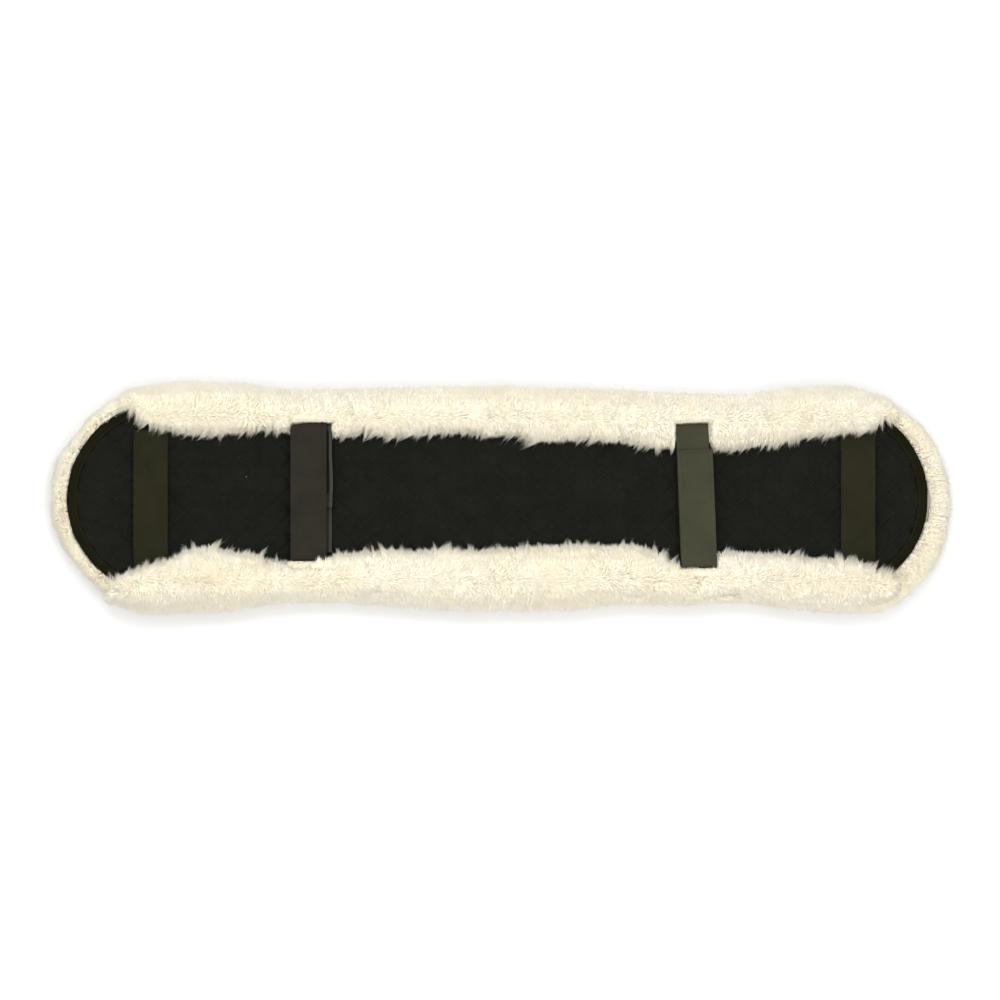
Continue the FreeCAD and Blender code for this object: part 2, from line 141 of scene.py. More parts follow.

# The left strap's return bows out and shows its edge beside the flap, where a pale painted highlight runs,
# and its flap's end is cut askew. The right strap's band is a little narrower than its flap, and its painted
# edge highlight would begin past its own edge, so none shows.
NO_EDGE = 2.0
STRAPS = [
    Strap("left", shift=-5.0, flap_end=box("left_flap")[1][1], flap_half=15.8, band_half=15.0,
          return_end=-8.0, bow=1.3, end_skew=1.4, edge_from=0.84),
    Strap("right", shift=1.6, flap_end=43.0, flap_half=15.5, band_half=14.2,
          return_end=0.0, bow=0.0, end_skew=0.0, edge_from=NO_EDGE),
]


# ---------------------------------------------------------------- camera, light and floor

def look():
    """A long lens straight above the sleeve, soft light from above, and a pale floor."""
    scene = bpy.context.scene
    scene.view_settings.view_transform = "Standard"
    camera = bpy.data.objects.new("camera", bpy.data.cameras.new("camera"))
    sensor, distance, view_width, top_of_wool = 36, 4.0, 0.88, 0.03
    aside, down = 0.0022, 0.0013
    camera.data.sensor_width = sensor
    camera.data.lens = sensor * distance / view_width
    camera.location = (aside, -down, distance + top_of_wool)
    scene.collection.objects.link(camera)
    scene.camera = camera

    world = bpy.data.worlds.new("studio")
    world.use_nodes = True
    backdrop = world.node_tree.nodes["Background"]
    backdrop.inputs["Color"].default_value = (1, 1, 1, 1)
    backdrop.inputs["Strength"].default_value = 1.14
    scene.world = world

    def area(name, place, size, power):
        lamp = bpy.data.lights.new(name, "AREA")
        lamp.shape = "RECTANGLE"
        lamp.size, lamp.size_y = size
        lamp.energy = power
        item = bpy.data.objects.new(name, lamp)
        item.location = place
        item.rotation_euler = (Vector((0, 0, 0)) - Vector(place)).to_track_quat("-Z", "Y").to_euler()
        scene.collection.objects.link(item)

    area("softbox", (-0.05, 0.95, 1.6), (1.6, 1.0), 18)
    area("fill", (0.35, -0.9, 1.6), (1.4, 1.1), 12)

    bpy.ops.mesh.primitive_plane_add(size=12)
    floor = bpy.context.object
    floor.name = "floor"
    floor.data.materials.append(plain("floor", (0.75, 0.75, 0.75), 0.9))


# ---------------------------------------------------------------- materials

def plain(name, color, rough, sheen=0.0, gloss=0.12):
    """A material of one colour, set on the shader's own sockets."""
    item = bpy.data.materials.new(name)
    item.use_nodes = True
    shader = item.node_tree.nodes["Principled BSDF"]
    shader.inputs["Base Color"].default_value = (*color, 1)
    shader.inputs["Roughness"].default_value = rough
    shader.inputs["Specular IOR Level"].default_value = gloss
    shader.inputs["Sheen Weight"].default_value = sheen
    shader.inputs["Sheen Roughness"].default_value = 0.5
    return item


def node(tree, kind, **settings):
    """Adds a shader node and sets its properties and its inputs."""
    item = tree.nodes.new(kind)
    for name, value in settings.items():
        if hasattr(item, name):
            setattr(item, name, value)
        else:
            item.inputs[name.replace("_", " ")].default_value = value
    return item


def cloth(name, dark, light, rough, cells, sheen=0.2, bump=0.3, gloss=0.06):
    """A woven material: cells is the weave's thread pitch along X and Y in millimetres. Its colour
    drifts between dark and light."""
    item = plain(name, dark, rough, sheen, gloss)
    tree = item.node_tree
    join = tree.links.new
    shader = tree.nodes["Principled BSDF"]
    place = node(tree, "ShaderNodeTexCoord").outputs["Object"]
    drift = node(tree, "ShaderNodeTexNoise", Scale=45, Detail=6, Roughness=0.65)
    fine = node(tree, "ShaderNodeTexNoise", Scale=1400, Detail=2)

    def add_fine(share, other):
        """The fine noise times a share, added to another value."""
        total = node(tree, "ShaderNodeMath", operation="MULTIPLY_ADD")
        join(fine.outputs["Fac"], total.inputs[0])
        total.inputs[1].default_value = share
        join(other, total.inputs[2])
        return total.outputs[0]

    ramp = node(tree, "ShaderNodeValToRGB")
    low, high = ramp.color_ramp.elements
    low.position, low.color = 0.55, (*dark, 1)
    high.position, high.color = 1.0, (*light, 1)
    join(add_fine(0.7, drift.outputs["Fac"]), ramp.inputs["Fac"])
    join(ramp.outputs["Color"], shader.inputs["Base Color"])

    weave = node(tree, "ShaderNodeMath", operation="MULTIPLY")
    for number, (direction, pitch) in enumerate(zip(("X", "Y"), cells)):
        wave = node(tree, "ShaderNodeTexWave", bands_direction=direction, Distortion=0.6, Detail=1)
        wave.inputs["Scale"].default_value = math.pi / (10 * pitch * MM)
        join(place, wave.inputs["Vector"])
        join(wave.outputs["Fac"], weave.inputs[number])
    relief = node(tree, "ShaderNodeBump", Strength=bump, Distance=0.0003)
    join(add_fine(0.8, weave.outputs[0]), relief.inputs["Height"])
    join(relief.outputs["Normal"], shader.inputs["Normal"])
    for noise in (drift, fine):
        join(place, noise.inputs["Vector"])
    return item


def web(name, dark, light, sheen=0.05):
    """The ribbed cloth of a webbing."""
    return cloth(name, dark, light, 0.85, (1.1, 0.8), sheen, 0.5)


# ---------------------------------------------------------------- meshes

def build(name, points, faces, materials, body="root", stands_for=(), slot=None, smooth=True, tones=None):
    """Makes an object from points in millimetres and faces of equal size, and rides it on a body. tones
    gives each face's material."""
    mesh = bpy.data.meshes.new(name)
    points = np.asarray(points, float).reshape(-1, 3) * MM
    faces = np.asarray(faces, np.int32)
    count, corners = faces.shape
    mesh.vertices.add(len(points))
    mesh.vertices.foreach_set("co", points.astype(np.float32).ravel())
    mesh.loops.add(faces.size)
    mesh.loops.foreach_set("vertex_index", faces.ravel())
    mesh.polygons.add(count)
    mesh.polygons.foreach_set("loop_start", np.arange(count, dtype=np.int32) * corners)
    mesh.update(calc_edges=True)
    mesh.polygons.foreach_set("use_smooth", np.full(count, smooth))
    for item in materials:
        mesh.materials.append(item)
    if tones is not None:
        mesh.polygons.foreach_set("material_index", np.asarray(tones, np.int32))
    item = bpy.data.objects.new(name, mesh)
    bpy.context.scene.collection.objects.link(item)
    if body:
        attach(item, body)
    if stands_for:
        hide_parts(*stands_for)
    return item


def grid_faces(rows, columns, close_columns=False):
    """Quads of a grid of points, numbered row by row."""
    grid = np.arange(rows * columns).reshape(rows, columns)
    if close_columns:
        grid = np.concatenate([grid, grid[:, :1]], 1)
    return np.stack([grid[:-1, :-1], grid[:-1, 1:], grid[1:, 1:], grid[1:, :-1]], -1).reshape(-1, 4)


def tube(name, rings, material, flip=False, **more):
    """A skin over rings of points, with its ends closed. flip turns its faces round."""
    rows, columns = rings.shape[:2]
    faces = grid_faces(rows, columns, close_columns=True)
    item = build(name, rings, faces[:, ::-1] if flip else faces, [material], **more)
    first = list(range(columns))
    last = list(range((rows - 1) * columns, rows * columns))
    for ring in (first if flip else first[::-1], last[::-1] if flip else last):
        work = bmesh.new()
        work.from_mesh(item.data)
        work.verts.ensure_lookup_table()
        work.faces.new([work.verts[number] for number in ring])
        bmesh.ops.triangulate(work, faces=work.faces[-1:])
        work.to_mesh(item.data)
        work.free()
    return item


def copies(name, points, pattern, materials, **more):
    """Many small bodies of one pattern of faces, from the points of each."""
    count, each = points.shape[:2]
    faces = (np.arange(count) * each)[:, None, None] + np.asarray(pattern)
    return build(name, points, faces.reshape(count * len(pattern), -1), materials, **more)


def waves(points, length, seed, count=7):
    """A smooth random value, mostly from -1 to 1, that changes over about the given length."""
    rng = np.random.default_rng(seed)
    total = np.zeros(points.shape[:-1])
    for _ in range(count):
        way = rng.normal(size=3)
        way *= 2 * math.pi / (np.linalg.norm(way) * length * rng.uniform(0.6, 1.7))
        total += np.sin(points @ way + rng.uniform(0, 2 * math.pi))
    return total / math.sqrt(count)


def ring_sides(corners, rings):
    """Triangles that join the rings of one small body, whose points are numbered ring by ring."""
    pattern = []
    for start in range(0, corners * (rings - 1), corners):
        for corner in range(corners):
            after = start + (corner + 1) % corners
            pattern += [(start + corner, after, corners + after),
                        (start + corner, corners + after, start + corners + corner)]
    return pattern


def unit(vectors):
    """Vectors at length one."""
    return vectors / np.maximum(np.linalg.norm(vectors, axis=-1, keepdims=True), 1e-9)


def ease(value, low, high):
    """A smooth step from 0 at low to 1 at high."""
    share = np.clip((np.asarray(value, float) - low) / (high - low), 0, 1)
    return share * share * (3 - 2 * share)


# ---------------------------------------------------------------- fleece

# Where the dense wool ends, as (x, y): the inner and the outer edge of each roll.
REAR_INNER = [(-340, 80), (-325, 75), (-314, 66), (-303, 60), (-288, 56), (-262, 53), (-205, 57), (-150, 51),
              (-112, 55), (-95, 52), (-60, 54), (-24, 55), (-7, 52), (11, 54), (46, 47), (81, 50), (99, 47),
              (152, 42), (205, 40), (240, 45), (275, 52), (320, 55), (345, 64), (352, 70)]
REAR_OUTER = [(-352, 84), (-335, 92), (-310, 99), (-279, 103), (-235, 102), (-180, 96), (0, 99), (60, 97),
              (213, 91), (260, 98), (310, 99), (335, 91), (352, 80)]
FRONT_INNER = [(-348, 70), (-325, 60), (-306, 55), (-288, 50), (-270, 42), (-253, 39), (-235, 44), (-218, 46),
               (-200, 52), (-180, 54), (-147, 46), (-112, 45), (-95, 42), (-77, 44), (-42, 41), (-24, 44),
               (0, 42), (46, 39), (81, 38), (99, 39), (117, 38), (134, 42), (152, 53), (176, 60), (200, 44),
               (240, 46), (275, 50), (310, 51), (335, 59), (352, 70)]
FRONT_OUTER = [(-352, 84), (-338, 94), (-310, 102), (-262, 101), (-174, 91), (-140, 91), (-110, 94),
               (-33, 99), (40, 99), (125, 93), (150, 94), (213, 91), (266, 98), (310, 101), (336, 94),
               (352, 83)]
ROLLS = (("rear", 1, REAR_INNER, REAR_OUTER), ("front", -1, FRONT_INNER, FRONT_OUTER))
# How much of a roll's outer edge is pile, the most that the heart of the underside's pile is pulled in where
# a roll is narrow, and the width of one strand of the fringe.
ROLL_PILE = 6.5
MOST_PULLED_IN = 5.8
STRAND = 0.85
WOOL_TONES = [(0.975, 0.92, 0.765), (0.965, 0.90, 0.725), (0.98, 0.94, 0.81), (0.955, 0.88, 0.69)]
# Where along a lock its rings are, with how thick it is there. A lock ends in a point.
FINE_LOCK = ((0.0, 1.0),)
SHORT_LOCK = ((0.0, 1.0), (0.55, 0.8))
LONG_LOCK = ((0.0, 1.0), (0.4, 0.8), (0.75, 0.5))
# How many locks and how many fine hairs each part of a roll or of the rim has, and how many locks each part
# of a fringe or the underside has.
LOCKS, HAIRS, FRINGE_LOCKS = 12500, 27000, 21500


def along(profile, x):
    """Smooth height of a profile of (x, y) points at x."""
    xs, ys = np.array(profile, float).T
    share = np.interp(x, xs, np.arange(len(xs)))
    left = np.clip(share.astype(int), 0, len(xs) - 2)
    part = ease(share - left, 0, 1)
    return ys[left] * (1 - part) + ys[left + 1] * part


def radial(spots):
    """Distance from the sleeve's spine and the way out from it, for points in the plane."""
    spine = np.clip(spots[:, 0], -PILE_SPACING, PILE_SPACING)
    away = spread(spots[:, 0] - spine, spots[:, 1])
    return np.linalg.norm(away, axis=1), unit(away)


def strap_floor(points):
    """Highest that wool may stand at each point, where a strap presses it down."""
    limit = np.full(points.shape[:-1], 1e3)
    for strap in STRAPS:
        x, y, _ = axes(strap.local(points))
        over_x = np.abs(x - strap.shift / 2) - (WEB_HALF + abs(strap.shift) / 2)
        over_y = np.maximum(y - FOLD_END - 0.4, strap.hinge_y - 4 - y)
        over = np.maximum(np.maximum(over_x, over_y), 0)
        limit = np.minimum(limit, RISE_LOW - 1.0 + over * 3.0)
    return limit


def panel_edge(x, radius=PANEL_RADIUS, least=0.0):
    """How far the panel, or a layer of it with its own radius, reaches from the middle line at x."""
    past = np.maximum(np.abs(x) - PANEL_SPACING, 0)
    return np.sqrt(np.maximum(radius ** 2 - past ** 2, least ** 2))


def shortfall(x, outer):
    """How much shorter a roll's pile is where the roll is narrow, since its heart must cover the panel's
    edge."""
    cover = 3.0
    return np.maximum(panel_edge(x) + cover - along(outer, x) + ROLL_PILE, 0)


def roll_core(name, side, inner, outer):
    """The solid heart of one roll: a dome from its inner to its outer edge that falls away at its ends."""
    low, high = box(f"{name}_roll_wool")
    steps, across, end_length, fringe_depth, bed = 300, 30, 42, 8.0, 29.3
    x = np.linspace(low[0] + 1, high[0] - 1, steps)
    reach = np.minimum(x - x[0], x[-1] - x)
    full = np.sqrt(1 - (1 - np.clip(reach / end_length, 0.01, 1)) ** 2)
    near = along(inner, x) + fringe_depth
    far = along(outer, x) - ROLL_PILE + shortfall(x, outer)
    near = np.minimum(near + (1 - full) * 12, far - 3)
    share = np.linspace(0, 1, across)
    y = near[:, None] + (far - near)[:, None] * share
    drop = 4.8 + 2.4 * (1 - ease(along(outer, x), 92, 97))[:, None]
    foot = bed - drop * ease(share, 0.6, 0.98)
    swell = 10.4 + 1.0 * waves(spread(x), 60, 3 + len(name))
    top = foot + (swell * full)[:, None] * np.sin(math.pi * share ** 0.82) ** 0.6
    back = share[-2:0:-1]
    low_y = near[:, None] + (far - near)[:, None] * back
    low_z = bed - drop * ease(back, 0.6, 0.98) - 0.4
    ring_y = np.concatenate([y, low_y], 1)
    ring_z = np.concatenate([top, low_z], 1)
    points = spread(x[:, None], side * ring_y, ring_z)
    lumps = 1.2 * waves(points, 30, 11 + len(name)) + 0.8 * waves(points, 10, 12) + 0.4 * waves(points, 5, 13)
    upper = ease(points[..., 2], 30, 35)
    points[..., 2] += lumps * upper
    points[..., 2] = np.minimum(points[..., 2], np.maximum(strap_floor(points), bed))
    return points


def pile_edge(x, y):
    """How far the pile reaches from the middle line beside a point. Past the straight sides it keeps the
    value where they end."""
    x = np.clip(x, -PILE_SPACING, PILE_SPACING)
    return np.where(y > 0, along(REAR_OUTER, x), along(FRONT_OUTER, x))


def pile_core():
    """The solid heart of the underside's pile: a thick slab with a rim that stands round the panel."""
    rings = [(40, 21.4), (84.6, 21.4), (84.9, 23.2), (85.6, 25.0), (87.0, 26.2), (89.0, 26.2), (90.8, 24.2),
             (91.6, 20.5), (91.4, 14), (89.6, 8.5), (86.0, 5), (80.5, 3.4), (70, 3.0), (40, 3.0)]
    end_steps, side_steps = 70, 158
    turns = np.linspace(-math.pi / 2, math.pi / 2, end_steps)
    straight = np.linspace(-PILE_SPACING, PILE_SPACING, side_steps + 2)[1:-1]
    spine = np.concatenate([np.full(end_steps, PILE_SPACING), straight[::-1],
                            np.full(end_steps, -PILE_SPACING), straight])
    angle = np.concatenate([turns, np.full(side_steps, math.pi / 2),
                            turns + math.pi, np.full(side_steps, -math.pi / 2)])
    radius, height = np.array(rings, float).T[:, :, None]
    side = np.sin(angle)
    edge = np.maximum(pile_edge(spine, side) - PILE_RADIUS, -MOST_PULLED_IN)
    swell = ease(radius, 84, 92) * edge * np.abs(side)
    ahead = np.cos(angle)
    right_bulge = ease(ahead, 0, 0.5) * (4.5 - 5.0 * side)
    left_bulge = ease(-ahead, 0, 0.3) * (1.2 + 3.0 * (2 * side * ahead) ** 2)
    bulge = ease(radius, 84, 92) * (right_bulge - left_bulge)
    points = spread(spine + (radius + bulge) * ahead, (radius + swell + bulge) * side, height)
    loose = ease(radius, 86, 90)
    outward = spread(ahead, side)
    points += (0.8 * loose * waves(points, 22, 5))[..., None] * outward
    points[..., 2] += 0.6 * loose * (waves(points, 12, 6) + waves(points, 30, 7)) * (height > 18)
    columns = len(angle)
    faces = [grid_faces(len(rings), columns, close_columns=True)[:, ::-1]]
    half = columns // 2
    first = np.arange(end_steps // 2, end_steps // 2 + half)
    mirror = (end_steps - 1 - first) % columns
    for ring, flip in ((0, False), (len(rings) - 1, True)):
        cap = ring * columns + np.stack([first[:-1], first[1:], mirror[1:], mirror[:-1]], -1)
        faces.append(cap[:, ::-1] if flip else cap)
    return points.reshape(-1, 3), np.concatenate(faces)


def surface(item):
    """Triangles of an object: corner points and corner normals, in millimetres."""
    mesh = item.data
    mesh.calc_loop_triangles()
    corners = np.zeros(len(mesh.loop_triangles) * 3, np.int32)
    mesh.loop_triangles.foreach_get("vertices", corners)
    points = np.zeros(len(mesh.vertices) * 3, np.float32)
    mesh.vertices.foreach_get("co", points)
    normals = np.zeros(len(mesh.vertices) * 3, np.float32)
    mesh.vertices.foreach_get("normal", normals)
    corners = corners.reshape(-1, 3)
    return points.reshape(-1, 3)[corners] / MM, normals.reshape(-1, 3)[corners]


def scatter(item, count, wanted, seed):
    """Random points on an object, with their normals, where wanted(points) gives each triangle's share."""
    points, normals = surface(item)
    rng = np.random.default_rng(seed)
    area = np.linalg.norm(np.cross(points[:, 1] - points[:, 0], points[:, 2] - points[:, 0]), axis=1)
    area *= wanted(points.mean(1))
    pick = rng.choice(len(area), count, p=area / area.sum())
    u, v = rng.random((2, count))
    flip = u + v > 1
    u[flip], v[flip] = 1 - u[flip], 1 - v[flip]
    share = np.stack([1 - u - v, u, v], -1)[..., None]
    return (points[pick] * share).sum(1), unit((normals[pick] * share).sum(1))


def hashed(codes, scale):
    """A repeatable random value from 0 to 1 for each code."""
    return np.modf(np.abs(np.sin(codes * scale)) * 43758.5453)[0]


def clumps(points, size, seed):
    """The middle of the clump that each point belongs to."""
    cell = np.floor(points / size)
    codes = cell @ np.array([12.9898, 78.233, 37.719]) + seed
    return (cell + np.stack([hashed(codes, scale) for scale in (1.0, 1.7, 2.3)], -1)) * size


def blocked(centres):
    """Which locks run into webbing, from the points along each."""
    hit = np.zeros(len(centres), bool)
    for strap in STRAPS:
        x, y, z = axes(strap.local(centres))
        flap = (np.abs(x - strap.shift) < WEB_HALF + 0.5) & (y > strap.hinge_y - 4)
        flap &= y < strap.flap_end + 0.8
        band = (np.abs(x) < WEB_HALF + 0.5) & (y > strap.hinge_y) & (y < FOLD_END + 0.6)
        hit |= (flap & (z > RISE_LOW - 0.6) & (z < FLAP_TOP + 0.5)).any(1)
        hit |= (band & (z > BED) & (z < RETURN_TOP + 0.6)).any(1)
    x, y, z = axes(centres)
    across = np.abs(y)
    for middle in KEEPERS.values():
        top = np.interp(across, [BRIDGE_END - 0.6, FOOT_START - 0.6], [KEEPER_TOP, BED + WEB])
        keeper = (np.abs(x - middle) < WEB_HALF + 0.4) & (across < FOOT_END + 0.5)
        hit |= (keeper & (z < top + 0.4) & (z > BED - 1)).any(1)
    return hit


def locks(name, roots, normals, tips, thick, seed, rings=SHORT_LOCK, lowest=0.3, arc=0.45, body="root"):
    """Tapered locks of wool, each from its root to its tip. thick is the radius at each root, arc is
    how far a lock stands up before it bends over, and none is lower than the lowest height."""
    rng = np.random.default_rng(seed)
    length = np.linalg.norm(tips - roots, axis=1, keepdims=True)
    bend = roots + normals * length * arc
    start = roots - normals * 0.6
    side = unit(np.cross(tips - roots, rng.normal(size=tips.shape)))
    crimp = rng.uniform(0.1, 0.45, (len(roots), 1)) * rng.choice([-1, 1], (len(roots), 1))

    def centre(share):
        curve = (1 - share) ** 2 * start + 2 * share * (1 - share) * bend + share ** 2 * tips
        return curve + side * crimp * math.sin(share * 9.0)

    free = ~blocked(np.stack([centre(share) for share in (0.35, 0.6, 0.8, 1.0)], 1))
    corners = []
    for share, width in rings:
        here = centre(share)
        ahead = unit(centre(share + 0.05) - here)
        first = unit(np.cross(ahead, side + normals * 0.01))
        second = np.cross(ahead, first)
        for corner in range(3):
            turn = corner * 2 * math.pi / 3
            corners.append(here + (first * math.cos(turn) + second * math.sin(turn)) * thick[:, None] * width)
    corners.append(centre(1.0))
    points = np.stack(corners, 1)[free]
    points[..., 2] = np.maximum(points[..., 2], lowest)
    last = 3 * len(rings) - 3
    pattern = ring_sides(3, len(rings))
    pattern += [(last, last + 1, last + 3), (last + 1, last + 2, last + 3), (last + 2, last, last + 3)]
    drift = waves(roots[free], 45, 77) * 0.4 + rng.normal(size=len(points)) * 0.5
    tone = np.array([3, 1, 0, 2])[np.digitize(drift, [-0.8, -0.1, 0.6])]
    return copies(name, points, pattern, WOOL, body=body, slot="wool", tones=np.repeat(tone, len(pattern)))


def comb(roots, normals, length, lean, stand, clump, drift, seed, droop=0.1):
    """The tip of each lock, from its root: some way along the normal and the lean, pushed to and fro by
    slow and quick noise, and drawn into clumps."""
    rng = np.random.default_rng(seed)
    way = normals * stand + lean
    for axis in range(3):
        way[:, axis] += drift * (waves(roots, 60, seed + axis) + 0.9 * waves(roots, 14, seed + 5 + axis))
    way = unit(way + rng.normal(size=way.shape) * 0.14)
    pull = clumps(roots, 5.0, seed) - roots
    pull -= normals * (pull * normals).sum(1, keepdims=True)
    size = length * rng.uniform(0.7, 1.2, (len(roots), 1))
    tips = roots + way * size + pull * clump
    tips[:, 2] -= droop * size[:, 0]
    return tips


def roll_locks(name, side, outer, core):
    """Short locks and fine hairs all over one roll: up on its crown, and outward over its sides and ends."""
    low, high = box(f"{name}_roll_wool")
    for part, (west, east) in enumerate(((-400, -118), (-118, 118), (118, 400))):
        def wanted(spots, west=west, east=east):
            x, y, z = axes(spots)
            far = along(outer, x) - ROLL_PILE + shortfall(x, outer)
            outside = np.abs(y) > np.minimum(86, far - 4.5)
            return (x >= west) * (x < east) * ((z > 29.5) + outside * (1.0 + 0.5 * (z < 34)))
        seed = 20 + 7 * part + len(name)
        for kind, count, rings, radii in (("locks", LOCKS, SHORT_LOCK, (0.36, 0.6)),
                                          ("hairs", HAIRS, FINE_LOCK, (0.34, 0.5))):
            roots, normals = scatter(core, count, wanted, seed)
            x, across = roots[:, 0], np.abs(roots[:, 1])
            outward = 2 * ease(across, 58, 86) - 1
            brushed = np.sqrt(np.maximum(1 - outward ** 2, 0)) * (0.75 + 0.15 * waves(roots, 120, 15))
            ends = ease(x, high[0] - 34, high[0] - 6) - ease(-x, -low[0] - 34, -low[0] - 6)
            edge = ease(across - along(outer, x), -13, -1)
            lean = spread(brushed * (1 - np.abs(ends)) + 0.45 * ends, side * outward, -0.1 - 0.3 * edge)
            pressed = ease(strap_floor(roots) - roots[:, 2], 0.5, 6)[:, None]
            length = 7.4 * (0.3 + 0.7 * pressed) * (1 + 0.12 * edge)[:, None]
            length -= (shortfall(x, outer) * ease(across, 72, 82))[:, None]
            tips = comb(roots, normals, length, lean, 0.6, 0.2, 0.2, seed + 1)
            thick = np.random.default_rng(seed + 2).uniform(*radii, len(roots))
            if kind == "hairs":
                loose_ends(roots, tips, thick, edge, seed + 4)
            locks(f"{name}_roll_{kind}_{part + 1}", roots, normals, tips, thick, seed + 3, rings)
            seed += 1000


def loose_ends(roots, tips, thick, edge, seed):
    """Makes some locks near an outer edge longer and finer, so that the edge looks soft."""
    loose = np.random.default_rng(seed).random(len(roots)) < 0.25 * edge
    tips[loose] += (tips - roots)[loose] * 0.45
    thick[loose] *= 0.55


def tufts(low, high, seed, sweep):
    """A row of tufts along X, as columns: start, width, reach beyond the edge, slant and height."""
    rng = np.random.default_rng(seed)
    rows = []
    start = low
    while start < high:
        width = 1.4 + 5.5 * rng.random() ** 1.7
        notch = rng.random() < 0.16
        reach = -5.0 if notch else -1.0 + 5.6 * rng.random() ** 1.2
        rows.append((start, width, reach, sweep + 0.38 * rng.normal(), 3.0 * rng.random()))
        start += width + 1.2 * rng.random() ** 2
    return np.array(rows).T


def fringe(name, side, inner, core):
    """Fine locks that spill from a roll's inner edge over the panel, in swept tufts of many widths with
    dark notches between them, and some loose hairs."""
    low, high = box(f"{name}_roll_wool")
    sweep, depth = -0.25 - 0.35 * side, 6.5
    begins, widths, reaches, slants, heights = tufts(low[0] - 4, high[0] + 4, 290 + len(name), sweep)
    for part, (west, east) in enumerate(((-400, 0), (0, 400))):
        def wanted(spots, west=west, east=east):
            x, y, z = axes(spots)
            gap = np.abs(y) - along(inner, x)
            return (x >= west) * (x < east) * (z > 29.6) * (gap < 17) * (1.6 - gap / 17)
        seed = 300 + len(name) + 31 * part
        rng = np.random.default_rng(seed)
        roots, normals = scatter(core, FRINGE_LOCKS, wanted, seed)
        count = len(roots)
        x = roots[:, 0]
        edge = along(inner, x)
        tuft = np.clip(np.searchsorted(begins, x) - 1, 0, len(begins) - 1)
        strand = np.floor(x / STRAND)
        across = np.clip(((strand + 0.5) * STRAND - begins[tuft]) / widths[tuft], 0, 1) * 2 - 1
        across = across + rng.normal(size=count) * 0.22 / widths[tuft]
        place = spread(x)
        reach = reaches[tuft] + 1.1 * waves(place, 45, 311) + 1.3 * waves(place, 16, 312) - 1.5 * across ** 2
        reach += 3.2 * (hashed(strand, 1.9) - 0.5)
        beside = np.abs(x - STRAPS[0].middle - STRAPS[0].shift) - WEB_HALF
        reach -= 3.6 * (1 - ease(beside, 2, 8)) * (side > 0)
        slant = slants[tuft] + 0.35 * waves(place, 70, 313)
        slant += 0.5 * (ease(x, high[0] - 26, high[0]) - ease(-x, -low[0] - 26, -low[0]))
        part_way = rng.random(count) ** 1.3
        own_reach = -depth + (reach + depth) * part_way + rng.normal(size=count) * 0.7
        loose = rng.random(count) < 0.14
        own_reach += loose * rng.uniform(0, 2.6, count)
        tips = np.stack([
            begins[tuft] + widths[tuft] * (0.5 + 0.42 * across) + slant * (own_reach + depth)
            + rng.normal(size=count) * (0.2 + 1.2 * (1 - part_way) + 0.5 * loose),
            side * (edge - own_reach),
            30.2 + heights[tuft] + rng.uniform(0, 2.0, count) + 2.5 * (1 - part_way)], -1)
        stray = rng.random(count) < 0.03
        tips[stray] += (rng.normal(size=(count, 3)) * [2.4, 1.4, 0.8] - [0, side * 1.6, 0])[stray]
        thick = rng.uniform(0.11, 0.23, count) * np.where(stray | loose, 0.6, 1.0)
        locks(f"{name}_roll_fringe_{part + 1}", roots, normals, tips, thick, seed + 4, SHORT_LOCK,
              lowest=29.9, arc=0.3)


def wisps(name, strap, side, spans):
    """Hairs round a strap's end. Each span gives where they grow along the strap's width, how far they
    hang over it, and how many there are."""
    end = max(strap.flap_end, FOLD_END) if side > 0 else strap.hinge_y - 3.4
    rng = np.random.default_rng(len(name) + 700)
    roots, tips = [], []
    for low, high, over, count in spans:
        x = rng.uniform(low, high, count)
        back = rng.uniform(1.2, 8.0, count)
        ground = np.minimum(RISE_LOW - 1.5 + 3.0 * back, 39.0)
        reach = over * rng.uniform(-1.2, 1.0, count) - 0.3 * back
        roots.append(np.stack([x, end + side * back, ground], -1))
        tips.append(np.stack([x + rng.normal(size=count) * 1.6, end - side * reach,
                              FLAP_TOP + rng.uniform(0.8, 2.8, count)], -1))
    roots, tips = np.concatenate(roots), np.concatenate(tips)
    thick = rng.uniform(0.22, 0.42, len(roots))
    upright = np.tile([0, 0, 1.0], (len(roots), 1))
    roots, tips = strap.world(roots), strap.world(tips)
    hairs = locks(name, roots, upright, tips, thick, 710, LONG_LOCK, arc=0.35,
                  body="root" if side > 0 else None)
    if side < 0:
        start = strap.world([0, strap.hinge_y - 6.0, strap.hinge_z + 0.6])
        end = strap.world([0, strap.hinge_y - 0.4, strap.hinge_z + 6.8])
        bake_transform(hairs)


